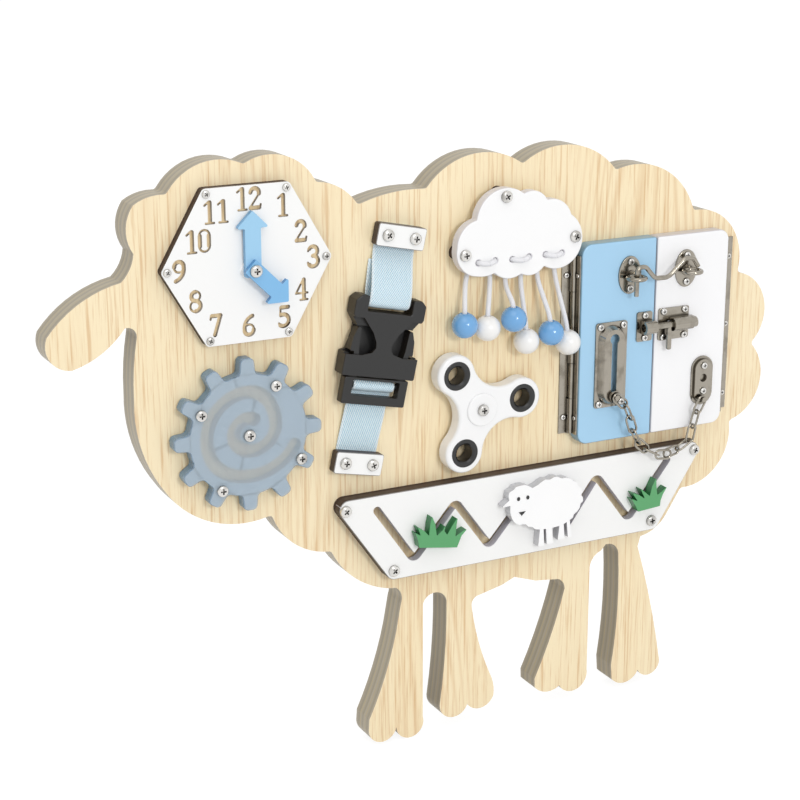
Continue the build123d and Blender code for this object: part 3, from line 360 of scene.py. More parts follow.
@dataclass(frozen=True)
class LaserCutPlate(Finish):
    """Thin plywood with a white print face; the laser has burnt its outer edge dark brown.

    Cuts inside the outline show their own wall colour, a grey that is painted shade on the white walls, and the
    bottom of a cut shows bare veneer.
    """

    face: str = "F4F4F3"
    burnt: str = "22110C"
    # colour of the cut walls inside the outline: painted shade, a grey that stands for walls that are white
    inner_wall_shade: str = "C9C8D2"
    veneer: str = "F0D8AC"
    floor_y_mm: float | None = None
    centre_mm: tuple[float, float] | None = None
    radius_mm: float = 43.9
    trapezium_mm: tuple[float, float, float, float, float, float] | None = None  # left, right, top, foot, two leans
    rim_mm: tuple[float, float] = (3.2, 3.6)  # the burnt rim of a trapezium ends between these

    def outer_share(self, tree: bpy.types.NodeTree, spot: bpy.types.NodeSocket) -> Any:
        """1 where a point is near the plate's outline, 0 inside it.

        A round test is the distance from a centre; the track's is how near the point is to any of its four sides.

        Args:
            tree: The node tree.
            spot: Object coordinates.

        Returns:
            The share, a number or a socket.
        """
        if self.centre_mm is not None:
            return self.beyond(tree, spot, self.centre_mm, self.radius_mm)
        if self.trapezium_mm is not None:
            left, right, top, foot, lean_left, lean_right = self.trapezium_mm
            axes = add(tree, "SeparateXYZ", {0: spot})
            x, z = axes.outputs[0], axes.outputs[2]
            drop = maths(tree, "SUBTRACT", top * MM, z)
            near_left = maths(tree, "SUBTRACT", x, maths(tree, "MULTIPLY_ADD", drop, lean_left, left * MM))
            near_right = maths(tree, "SUBTRACT", maths(tree, "MULTIPLY_ADD", drop, -lean_right, right * MM), x)
            low = maths(tree, "SUBTRACT", z, foot * MM)
            beside = maths(tree, "MINIMUM", near_left, near_right)
            nearest = maths(tree, "MINIMUM", beside, maths(tree, "MINIMUM", drop, low))
            return maths(tree, "SUBTRACT", 1.0, ramp(tree, nearest, self.rim_mm[0] * MM, self.rim_mm[1] * MM))
        return 1.0

    def build(self) -> bpy.types.Material:
        """Makes the material."""
        material, tree, shader, coords = self.start()
        spot = coords.outputs["Object"]
        soot = noise(tree, scaled(tree, spot, (240, 900, 240)), detail=4)
        burnt = blend_colour(tree, maths(tree, "MULTIPLY", soot, 0.55), linear(self.burnt), linear("3F2018"))
        # Walls inside the outline take the painted shade grey; the outer rim takes the real burnt char.
        edge = blend_colour(tree, self.outer_share(tree, spot), linear(self.inner_wall_shade), burnt)
        cloudy = noise(tree, scaled(tree, spot, (35, 35, 35)), detail=3)
        print_face = blend_colour(tree, maths(tree, "MULTIPLY", cloudy, 0.05), linear(self.face), linear("D8D6D2"))
        if self.floor_y_mm is not None:
            depth = add(tree, "SeparateXYZ", {0: spot}).outputs[1]
            wood, _ = grain(tree, coords, self.veneer, self.veneer, "B08E60")
            sunk = ramp(tree, depth, (self.floor_y_mm - 0.3) * MM, (self.floor_y_mm - 0.1) * MM)
            print_face = blend_colour(tree, sunk, print_face, wood)
        base = blend_colour(tree, self.edge_share(tree, coords), print_face, edge)
        tree.links.new(base, shader.inputs["Base Color"])
        shader.inputs["Roughness"].default_value = 0.42
        self.relief(tree, shader, noise(tree, scaled(tree, spot, (900, 900, 900)), detail=2), 0.012)
        return material


@dataclass(frozen=True)
class BurntPlywood(Finish):
    """Bare plywood whose laser-cut edge shows: dark brown char with a redder lower ply."""

    def build(self) -> bpy.types.Material:
        """Makes the material."""
        material, tree, shader, coords = self.start()
        spot = coords.outputs["Object"]
        char = noise(tree, scaled(tree, spot, (220, 1400, 220)), detail=4)
        burnt = blend_colour(tree, char, linear("1E0E0A"), linear("3A1C14"))
        wood, _ = grain(tree, coords, "D8C09A", "CDB184", "A8855A")
        tree.links.new(blend_colour(tree, self.edge_share(tree, coords), wood, burnt), shader.inputs["Base Color"])
        shader.inputs["Roughness"].default_value = 0.6
        self.relief(tree, shader, char, 0.05)
        return material


@dataclass(frozen=True)
class Paint(Finish):
    """Sprayed water-based paint on sanded wood: satin, with a faint orange-peel; the routed edge is drawn in a darker
    copy of the face colour, which is painted shade.
    """

    face: str = "FFFFFF"
    # edge colour: painted shade, a darker copy of the face colour for the cut sides
    edge: str = "FFFFFF"
    roughness: float = 0.36
    peel_mm: float = 2.2
    coat: float = 0.25

    def build(self) -> bpy.types.Material:
        """Makes the material."""
        material, tree, shader, coords = self.start()
        spot = coords.outputs["Object"]
        cloudy = noise(tree, scaled(tree, spot, (28, 28, 28)), detail=3)
        # The cut sides take the painted shade colour, and a faint random cloudiness is pulled towards it too.
        base = blend_colour(tree, self.edge_share(tree, coords), linear(self.face), linear(self.edge))
        base = blend_colour(tree, maths(tree, "MULTIPLY", cloudy, 0.10), base, linear(self.edge))
        tree.links.new(base, shader.inputs["Base Color"])
        rub = noise(tree, scaled(tree, spot, (90, 90, 90)), detail=4)
        tree.links.new(maths(tree, "MULTIPLY_ADD", rub, 0.14, self.roughness - 0.07), shader.inputs["Roughness"])
        shader.inputs["Coat Weight"].default_value = self.coat
        shader.inputs["Coat Roughness"].default_value = 0.18
        per_metre = 1000 / self.peel_mm
        self.relief(tree, shader, noise(tree, scaled(tree, spot, (per_metre,) * 3), detail=1), 0.012)
        return material


@dataclass(frozen=True)
class SheepPaint(Paint):
    """White paint with the eyes and nose, which stand proud of the face, dipped in black."""

    face_y_mm: float = -33.55  # just in front of the sheep's flat face

    def build(self) -> bpy.types.Material:
        """Makes the material."""
        material = super().build()
        tree = material.node_tree
        shader = next(n for n in tree.nodes if n.type == "BSDF_PRINCIPLED")
        coords = next(n for n in tree.nodes if n.type == "TEX_COORD")
        old = shader.inputs["Base Color"].links[0].from_socket
        depth = add(tree, "SeparateXYZ", {0: coords.outputs["Object"]}).outputs[1]
        proud = maths(tree, "LESS_THAN", depth, self.face_y_mm * MM)
        tree.links.new(blend_colour(tree, proud, old, linear("151414")), shader.inputs["Base Color"])
        return material


class Metal(Enum):
    """The two plated steels: hex of the lit metal, hex of its dull spots, and roughness."""

    ZINC = ("DAD8D4", "6E6B66", 0.20)
    # NICKEL's bright colour is darker than real nickel: painted shade that stands in for the darker reflections of a
    # room.
    NICKEL = ("A39D92", "6B6457", 0.16)


@dataclass(frozen=True)
class PlatedSteel(Finish):
    """Stamped or drawn steel under bright plating: fine tumbling marks, dull spots, and painted shade darkening its
    corners and recesses.
    """

    metal: Metal = Metal.NICKEL
    painted_corner_shade: float = 0.92

    def build(self) -> bpy.types.Material:
        """Makes the material."""
        material, tree, shader, coords = self.start()
        bright, dull, roughness = self.metal.value
        spot = coords.outputs["Object"]
        blotch = ramp(tree, noise(tree, scaled(tree, spot, (120, 120, 120)), detail=4), 0.45, 0.75)
        marks = noise(tree, scaled(tree, spot, (2600, 2600, 500)), detail=2)
        # Painted shade: an ambient-occlusion mask darkens corners and recesses towards 2E2A25.
        corner = add(tree, "AmbientOcclusion", {"Distance": 2.4 * MM}, samples=8).outputs["AO"]
        dark = maths(tree, "MULTIPLY", maths(tree, "SUBTRACT", 1.0, ramp(tree, corner, 0.25, 0.95)), self.painted_corner_shade)
        base = blend_colour(tree, maths(tree, "MULTIPLY", blotch, 0.5), linear(bright), linear(dull))
        base = blend_colour(tree, dark, base, linear("2E2A25"))
        tree.links.new(base, shader.inputs["Base Color"])
        shader.inputs["Metallic"].default_value = 1.0
        tree.links.new(maths(tree, "MULTIPLY_ADD", blotch, 0.12, roughness), shader.inputs["Roughness"])
        self.relief(tree, shader, marks, 0.006)
        return material


@dataclass(frozen=True)
class MouldedPlastic(Finish):
    """Injection-moulded plastic. A gloss mould leaves it smooth, a sparked one leaves fine grit."""

    colour: str = "FFFFFF"
    worn: str = "FFFFFF"
    roughness: float = 0.2
    grit_mm: float = 0.9
    depth_mm: float = 0.004
    coat: float = 0.3
    # Cut-side colours are painted light: the edge colour is painted shade, and the paler one inside the radius is
    # painted bounce light off the wood.
    edge: str | None = None
    inner_wall_bounce_light: str | None = None
    centre_mm: tuple[float, float] = (0.0, 0.0)
    radius_mm: float = 0.0

    def build(self) -> bpy.types.Material:
        """Makes the material. Its cut edges show the edge colour, which is painted shade, and inside the radius the
        paler wall colour, which is painted bounce light, where there is one.
        """
        material, tree, shader, coords = self.start()
        spot = coords.outputs["Object"]
        haze = noise(tree, scaled(tree, spot, (60, 60, 60)), detail=4)
        tint = blend_colour(tree, maths(tree, "MULTIPLY", haze, 0.25), linear(self.colour), linear(self.worn))
        # painted shade and painted bounce light on the cut sides
        if self.edge is not None:
            side = linear(self.edge)
            if self.inner_wall_bounce_light is not None:
                side = blend_colour(tree, self.beyond(tree, spot, self.centre_mm, self.radius_mm),
                                    linear(self.inner_wall_bounce_light), side)
            tint = blend_colour(tree, self.edge_share(tree, coords), tint, side)
        tree.links.new(tint, shader.inputs["Base Color"])
        tree.links.new(maths(tree, "MULTIPLY_ADD", haze, 0.12, self.roughness - 0.04), shader.inputs["Roughness"])
        shader.inputs["Coat Weight"].default_value = self.coat
        shader.inputs["Coat Roughness"].default_value = 0.12
        per_metre = 1000 / self.grit_mm
        self.relief(tree, shader, noise(tree, scaled(tree, spot, (per_metre,) * 3), detail=2), self.depth_mm)
        return material


@dataclass(frozen=True)
class FrostedSheet(Finish):
    """Blue-grey frosted acrylic: lets the wood and the slot under it show a little hazed; its edge is drawn darker,
    which is painted shade.
    """

    colour: str = "B8C6D0"
    # edge colour: painted shade on the sawn edge
    edge: str = "7894AB"
    cover: float = 0.55
    underside_y_mm: float = -25.3  # just in front of the sheet's underside, which lies on the gear

    def build(self) -> bpy.types.Material:
        """Makes the material. Its underside is clear, because it lies on the gear's own face."""
        material, tree, shader, coords = self.start()
        spot = coords.outputs["Object"]
        haze = noise(tree, scaled(tree, spot, (45, 45, 45)), detail=4)
        tint = blend_colour(tree, maths(tree, "MULTIPLY", haze, 0.2), linear(self.colour), linear("B9CAD6"))
        # painted shade on the sawn edge
        tree.links.new(blend_colour(tree, self.edge_share(tree, coords), tint, linear(self.edge)),
                       shader.inputs["Base Color"])
        shader.inputs["Roughness"].default_value = 0.34
        depth = add(tree, "SeparateXYZ", {0: spot}).outputs[1]
        under = maths(tree, "GREATER_THAN", depth, self.underside_y_mm * MM)
        alpha = maths(tree, "MULTIPLY", maths(tree, "SUBTRACT", 1.0, under), self.cover)
        tree.links.new(alpha, shader.inputs["Alpha"])
        self.relief(tree, shader, noise(tree, scaled(tree, spot, (1400, 1400, 1400)), detail=2), 0.006)
        return material


@dataclass(frozen=True)
class WovenWebbing(Finish):
    """Twill-woven polyester webbing, pale blue with white weft: diagonal ribs, and a plain edge cord each side.

    The piece's UV is in millimetres: U across from the middle, V along. Ribs are sin(2 pi (v + slant u) / pitch);
    real ones are 1 mm apart, and these are drawn twice as coarse so that they show.
    """

    pale: str = "FAFEFF"
    blue: str = "98CBE2"
    half_width: float = 13.5
    rib_slant: float = 1.55
    rib_pitch: float = 2.1
    thread_pitch: float = 0.85

    def build(self) -> bpy.types.Material:
        """Makes the material."""
        material, tree, shader, coords = self.start()
        axes = add(tree, "SeparateXYZ", {0: coords.outputs["UV"]})
        across, along = axes.outputs[0], axes.outputs[1]
        slanted = maths(tree, "MULTIPLY_ADD", across, self.rib_slant, along)
        rib = maths(tree, "SINE", maths(tree, "MULTIPLY", slanted, FULL_TURN / self.rib_pitch))
        thread = maths(tree, "SINE", maths(tree, "MULTIPLY", across, FULL_TURN / self.thread_pitch))
        weave = maths(tree, "MULTIPLY_ADD", rib, 0.46, maths(tree, "MULTIPLY_ADD", thread, 0.2, 0.56), clamp=True)
        rim = ramp(tree, maths(tree, "ABSOLUTE", across), self.half_width - 1.6, self.half_width - 1.1)
        lint = noise(tree, scaled(tree, coords.outputs["UV"], (0.6, 0.9, 1)), detail=3)
        base = blend_colour(tree, weave, linear(self.blue), linear(self.pale))
        base = blend_colour(tree, maths(tree, "MULTIPLY", rim, 0.5), base, linear(self.pale))
        base = blend_colour(tree, maths(tree, "MULTIPLY", lint, 0.22), base, linear(self.blue))
        tree.links.new(base, shader.inputs["Base Color"])
        shader.inputs["Roughness"].default_value = 0.82
        shader.inputs["Sheen Weight"].default_value = 0.25
        shader.inputs["Sheen Roughness"].default_value = 0.5
        self.relief(tree, shader, weave, 0.28)
        return material


@dataclass(frozen=True)
class BraidedCord(Finish):
    """Soft white braided cord: two sets of strands cross at a slant.

    The piece's UV is in millimetres: U round the cord, V along. The braid is |sin| of u + v times |sin| of u - v.
    """

    white: str = "F8F8F9"
    shade: str = "D2D1D8"
    pitch: float = 1.02  # from one strand to the next

    def build(self) -> bpy.types.Material:
        """Makes the material."""
        material, tree, shader, coords = self.start()
        axes = add(tree, "SeparateXYZ", {0: coords.outputs["UV"]})
        around, along = axes.outputs[0], axes.outputs[1]
        slants = []
        for sign in (1.0, -1.0):
            slant = maths(tree, "MULTIPLY", maths(tree, "MULTIPLY_ADD", along, sign, around), math.pi / self.pitch)
            slants.append(maths(tree, "ABSOLUTE", maths(tree, "SINE", slant)))
        braid = maths(tree, "MULTIPLY", *slants)
        tree.links.new(blend_colour(tree, ramp(tree, braid, 0.0, 0.5), linear(self.shade), linear(self.white)),
                       shader.inputs["Base Color"])
        shader.inputs["Roughness"].default_value = 0.7
        shader.inputs["Sheen Weight"].default_value = 0.2
        self.relief(tree, shader, braid, 0.12)
        return material


# ---- surfaces ------------------------------------------------------------------------
def carried(name: str, points: np.ndarray, uv: np.ndarray, finish: bpy.types.Material) -> bpy.types.Object:
    """Makes a closed skin from rings of points carried along a path, with a flat cap on both ends.

    Args:
        name: The piece's name.
        points: Rings by points by three, in metres, each ring running round the path's forward direction.
        uv: Rings by points + 1 by two, so that the seam has both its values.
        finish: The material.

    Returns:
        The new piece, at the origin.
    """
    rings, around = points.shape[:2]
    row, col = np.meshgrid(np.arange(rings - 1), np.arange(around), indexing="ij")
    following = (col + 1) % around
    quads = np.stack([row * around + col, row * around + following, (row + 1) * around + following,
                      (row + 1) * around + col], axis=-1).reshape(-1, 4)
    first, last = np.arange(around)[::-1], (rings - 1) * around + np.arange(around)
    mesh = bpy.data.meshes.new(name)
    mesh.from_pydata(points.reshape(-1, 3).tolist(), [], [*quads.tolist(), first.tolist(), last.tolist()])
    corner = np.stack([uv[row, col], uv[row, col + 1], uv[row + 1, col + 1], uv[row + 1, col]], axis=2).reshape(-1, 2)
    ends = np.concatenate([uv[0, :around][::-1], uv[-1, :around]])
    layer = mesh.uv_layers.new(name="UVMap")
    layer.data.foreach_set("uv", np.concatenate([corner, ends]).astype(np.float32).ravel())
    mesh.polygons.foreach_set("use_smooth", np.ones(len(mesh.polygons), bool))
    mesh.materials.append(finish)
    mesh.update()
    piece = bpy.data.objects.new(name, mesh)
    bpy.context.scene.collection.objects.link(piece)
    return piece


def spun(name: str, profile: np.ndarray, centre: Sequence[float], steps: int, finish: bpy.types.Material
         ) -> bpy.types.Object:
    """Makes a closed ring-shaped skin: a closed profile turned about the upright line through a centre.

    A point (r, k) of the profile goes to centre + (r cos t, r sin t, k).

    Args:
        name: The piece's name.
        profile: Radius and height of each point, in metres, running so that the skin faces out.
        centre: The centre in metres.
        steps: Points round the turn.
        finish: The material.

    Returns:
        The new piece, at the origin.
    """
    turn = np.linspace(0, FULL_TURN, steps, endpoint=False)[:, None]
    radius, height = profile[None, :, 0], profile[None, :, 1]
    points = np.stack([radius * np.cos(turn), radius * np.sin(turn), height + 0 * turn], axis=-1) + np.array(centre)
    count = profile.shape[0]
    row, col = np.meshgrid(np.arange(steps), np.arange(count), indexing="ij")
    nxt_row, nxt_col = (row + 1) % steps, (col + 1) % count
    quads = np.stack([row * count + col, nxt_row * count + col, nxt_row * count + nxt_col, row * count + nxt_col],
                     axis=-1).reshape(-1, 4)
    mesh = bpy.data.meshes.new(name)
    mesh.from_pydata(points.reshape(-1, 3).tolist(), [], quads.tolist())
    mesh.polygons.foreach_set("use_smooth", np.ones(len(mesh.polygons), bool))
    mesh.materials.append(finish)
    mesh.update()
    piece = bpy.data.objects.new(name, mesh)
    bpy.context.scene.collection.objects.link(piece)
    return piece


def round_tube(name: str, line: np.ndarray, radius: float, around: int, finish: bpy.types.Material
               ) -> bpy.types.Object:
    """Makes a round tube along a line.

    Each ring is line + radius (cos a p + sin a q), where p is a fixed slanted direction with its share along the
    line taken out, and q completes the frame.

    Args:
        name: The piece's name.
        line: The line's points in metres.
        radius: The tube's radius in metres.
        around: Points in a ring.
        finish: The material.

    Returns:
        The new piece, at the origin.
    """
    ahead = np.gradient(line, axis=0)
    ahead /= np.linalg.norm(ahead, axis=1, keepdims=True)
    slant = np.array([0.61, 0.52, 0.60])
    side = slant - (ahead @ slant)[:, None] * ahead
    side /= np.linalg.norm(side, axis=1, keepdims=True)
    other = np.cross(ahead, side)
    angle = np.linspace(0, FULL_TURN, around, endpoint=False)
    ring = radius * (np.cos(angle)[None, :, None] * side[:, None] + np.sin(angle)[None, :, None] * other[:, None])
    run = np.concatenate([[0.0], np.cumsum(np.linalg.norm(np.diff(line, axis=0), axis=1))]) / MM
    girth = np.linspace(0, FULL_TURN * radius / MM, around + 1)
    uv = np.stack(np.broadcast_arrays(girth[None, :], run[:, None]), axis=-1)
    return carried(name, line[:, None] + ring, uv, finish)


def route_line(name: str, points: Sequence[tuple[float, float, float]]) -> np.ndarray:
    """Reads the smooth line of a route.

    Args:
        name: A name for the passing curve.
        points: The route's points, which are the spline's control points, in metres.

    Returns:
        The line's points in metres.
    """
    curve = bpy.data.curves.new(name + "_route", "CURVE")
    curve.dimensions = "3D"
    curve.resolution_u = 20
    spline = curve.splines.new("NURBS")
    spline.points.add(len(points) - 1)
    for point, spot in zip(spline.points, points):
        point.co = (*spot, 1.0)
    spline.order_u = 3
    spline.use_endpoint_u = True
    passing = bpy.data.objects.new(name + "_route", curve)
    bpy.context.scene.collection.objects.link(passing)
    bpy.context.view_layer.update()
    mesh = bpy.data.meshes.new_from_object(passing)
    line = np.zeros(len(mesh.vertices) * 3)
    mesh.vertices.foreach_get("co", line)
    bpy.data.objects.remove(passing)
    bpy.data.meshes.remove(mesh)
    return line.reshape(-1, 3)


# ---- sub-assemblies ------------------------------------------------------------------
@dataclass
class Panel:
    """The carried-over nodes of rigid pieces, and the finish each one gets."""

    nodes: dict[str, bpy.types.Object]

    def finishes(self) -> dict[str, tuple[Finish, list[str]]]:
        """Each finish with the nodes that wear it."""
        return {
            "board": (VeneeredBoard("pine_veneered_plywood"), ["board_panel"]),
            # The clock's grey cut-wall colour is painted shade on walls that are white.
            "clock_plate": (LaserCutPlate("white_clock_plywood", inner_wall_shade="ABA8A6", floor_y_mm=-21.8,
                                          centre_mm=(-124.9, 128.0)), ["clock_face_plate"]),
            "track_plate": (LaserCutPlate("white_track_plywood",
                                          trapezium_mm=(-77.3, 191.2, -20.3, -76.0, 0.700, 0.650)),
                            ["track_face_plate"]),
            "clamps": (LaserCutPlate("white_clamp_plywood"), ["strap_clamp_plates"]),
            "burnt": (BurntPlywood("laser_cut_bare_plywood"),
                      ["clock_backing_plate", "track_frame", "cloud_spacers"]),
            # The edge colours given to these paints are painted shade: darker copies of each face colour for the cut
            # sides.
            "cloud": (Paint("white_cloud_paint", face="F6F6F6", edge="DCDADF"), ["cloud_plate"]),
            "sheep": (SheepPaint("white_sheep_paint", face="FAFAFA", edge="C3C3C6"), ["sheep_slider"]),
            "grass": (Paint("green_grass_paint", face="56A267", edge="2B7542"),
                      ["left_grass_slider", "right_grass_slider"]),
            "minute": (Paint("pale_blue_hand_paint", face="9CCBEA", edge="6FA6CE"), ["minute_hand"]),
            "hour": (Paint("sky_blue_hand_paint", face="7EB8E4", edge="5A93C4"), ["hour_hand"]),
            "blue_door": (Paint("pale_blue_door_paint", face="A5CFEC", edge="7FA6BE"), ["left_door"]),
            "white_door": (Paint("white_door_paint", face="F7F7F8", edge="CBC9CF"), ["right_door"]),
            # Gear: the dark blue edge colour is painted shade on the tooth sides, and the pale lilac-grey one is
            # painted bounce light on the slot walls.
            "gear": (MouldedPlastic("blue_grey_gear_plastic", colour="B4C8DA", worn="ABC0D3", roughness=0.34,
                                    edge="6B8CA6", inner_wall_bounce_light="B3B5C2", centre_mm=(-128.0, 29.4), radius_mm=34.0),
                     ["gear_disc"]),
            "cover": (FrostedSheet("frosted_acrylic"), ["gear_cover"]),
            "white_plastic": (MouldedPlastic("white_gloss_abs", colour="F3F3F3", worn="E9E9EA"),
                              ["spinner_body", "spinner_cap", "axle_bushings"]),
            "black_rings": (MouldedPlastic("black_ring_plastic", colour="0E0E0E", worn="181716", roughness=0.3),
                            ["spinner_ring_inserts"]),
            # The brownish edge colour is painted shade with warm bounce light on the buckle's sides.
            "black_acetal": (MouldedPlastic("black_sparked_acetal", colour="202020", worn="282726", roughness=0.42,
                                            depth_mm=0.01, coat=0.0, edge="221C15"),
                             ["buckle_receiver", "buckle_plug", "buckle_left_arm", "buckle_right_arm"]),
            "zinc": (PlatedSteel("bright_zinc_screw_steel", metal=Metal.ZINC),
                     ["clock_screws", "panel_screws", "gear_cover_screws", "axle_screws", "hinge_board_screws",
                      "left_door_screws", "right_door_screws"]),
            "nickel": (PlatedSteel("nickel_plated_steel"),
                       ["hinge_board_leaves", "left_hinge_door_leaf", "right_hinge_door_leaf", "hook_eye_plate_left",
                        "hook_eye_plate_right", "cabin_hook", "bolt_keeper", "bolt_plate", "bolt_rod",
                        "chain_slot_plate", "chain_slider", "chain_left_links", "chain_anchor_plate",
                        "chain_right_links"]),
        }

    def dress(self) -> None:
        """Puts each finish on its nodes."""
        for finish, names in self.finishes().values():
            material = finish.build()
            for name in names:
                slots = self.nodes[name].material_slots
                if not slots:
                    self.nodes[name].data.materials.append(material)
                for each in slots:
                    each.material = material
            LOG.info("%s on %s", material.name, ", ".join(names))


@dataclass
class Webbing:
    """A length of strap, drawn in its own plane: distance along the strap's line and height off the board."""

    name: str
    profile: np.ndarray
    width: float = 27.0
    thickness: float = 1.5
    drift: float = 0.0

    def build(self, finish: bpy.types.Material) -> bpy.types.Object:
        """Carries a flat rounded section along the profile.

        The section is a superellipse, |a / half|^n + |b / t|^n = 1, with n = 8 across and 2.5 through, so the
        selvedge is round and the faces stay flat. The far end drifts sideways as the square of the length run.

        Args:
            finish: The material.

        Returns:
            The new piece.
        """
        line = self.profile
        ahead = np.gradient(line, axis=0)
        ahead /= np.linalg.norm(ahead, axis=1, keepdims=True)
        run = np.concatenate([[0.0], np.cumsum(np.linalg.norm(np.diff(line, axis=0), axis=1))])
        angle = np.linspace(0, FULL_TURN, 64, endpoint=False)
        cos, sin = np.cos(angle), np.sin(angle)
        across = self.width / 2 * np.sign(cos) * np.abs(cos) ** 0.25
        through = self.thickness / 2 * np.sign(sin) * np.abs(sin) ** 0.7
        drift = self.drift * (run / run[-1]) ** 2
        along = line[:, None, 0] - ahead[:, None, 1] * through[None]
        height = line[:, None, 1] + ahead[:, None, 0] * through[None]
        side = across[None] + drift[:, None]
        lean = math.radians(STRAP_TURN_DEG)
        x = STRAP_FOOT[0] + side * math.cos(lean) - along * math.sin(lean)
        z = STRAP_FOOT[1] + side * math.sin(lean) + along * math.cos(lean)
        points = np.stack(np.broadcast_arrays(x, -(BOARD_T + height), z), axis=-1) * MM
        seam = np.concatenate([across, across[:1]])
        uv = np.stack(np.broadcast_arrays(seam[None], run[:, None]), axis=-1)
        return carried(self.name, points, uv, finish)


def hermite(start: Sequence[float], end: Sequence[float], leave: Sequence[float], arrive: Sequence[float],
            count: int) -> np.ndarray:
    """Cubic between two points: p0 h00 + m0 h10 + p1 h01 + m1 h11.

    Args:
        start: First point.
        end: Last point.
        leave: Slope at the start.
        arrive: Slope at the end.
        count: Points made.

    Returns:
        The points.
    """
    t = np.linspace(0, 1, count)[:, None]
    h00, h10, h01, h11 = 2 * t**3 - 3 * t**2 + 1, t**3 - 2 * t**2 + t, -2 * t**3 + 3 * t**2, t**3 - t**2
    return h00 * np.array(start) + h10 * np.array(leave) + h01 * np.array(end) + h11 * np.array(arrive)


def arc(centre: Sequence[float], radius: float, first_deg: float, last_deg: float, count: int) -> np.ndarray:
    """Points of a circle's arc, centre + radius (cos, sin).

    Args:
        centre: The circle's centre.
        radius: Its radius.
        first_deg: Angle of the first point.
        last_deg: Angle of the last point.
        count: Points made.

    Returns:
        The points.
    """
    angle = np.radians(np.linspace(first_deg, last_deg, count))
    return np.array(centre) + radius * np.stack([np.cos(angle), np.sin(angle)], axis=1)


@dataclass
class Strap:
    """Two lengths of webbing, one round each half of the buckle."""

    span: float = 136.6
    flat: float = 0.85

    def upper_profile(self) -> np.ndarray:
        """From under the top clamp, out over the bar, round it, and back beneath itself."""
        bar, radius = (97.8, 6.2), 3.2
        return np.concatenate([
            np.linspace((self.span + 6.6, self.flat), (129.0, self.flat), 16)[:-1],
            hermite((129.0, self.flat), (bar[0] + 3.0, bar[1] + radius), (-24, 0), (-22, 0), 40)[:-1],
            np.linspace((bar[0] + 3.0, bar[1] + radius), (bar[0], bar[1] + radius), 5)[:-1],
            arc(bar, radius, 90, 270, 30)[:-1],
            hermite((bar[0], bar[1] - radius), (121.0, self.flat), (14, 0), (16, 0), 30),
        ])

    def lower_profile(self) -> np.ndarray:
        """From under the bottom clamp, up round the plug's bar, with a short tail inside the frame."""
        bar, radius = (47.6, 5.2), 2.9
        return np.concatenate([
            np.linspace((-6.6, self.flat), (8.0, self.flat), 16)[:-1],
            hermite((8.0, self.flat), (34.0, bar[1] - radius), (26, 0), (26, 0), 36)[:-1],
            np.linspace((34.0, bar[1] - radius), (bar[0], bar[1] - radius), 14)[:-1],
            arc(bar, radius, -90, 180, 44)[:-1],
            hermite((bar[0] - radius, bar[1]), (bar[0] - radius - 1.6, 4.0), (0, -1.4), (-1.8, 0), 8)[:-1],
            np.linspace((bar[0] - radius - 1.6, 4.0), (36.0, 4.0), 12),
        ])

    def build(self) -> None:
        """Makes both lengths."""
        finish = WovenWebbing("pale_blue_twill_webbing").build()
        for webbing, rests in ((Webbing("upper_webbing", self.upper_profile(), drift=-1.6), ["buckle_receiver"]),
                               (Webbing("lower_webbing", self.lower_profile()), ["buckle_plug"])):
            piece = webbing.build(finish)
            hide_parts(webbing.name.replace("webbing", "strap"))
            if webbing.name == "upper_webbing":
                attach(piece, "board")
            else:
                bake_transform(piece)


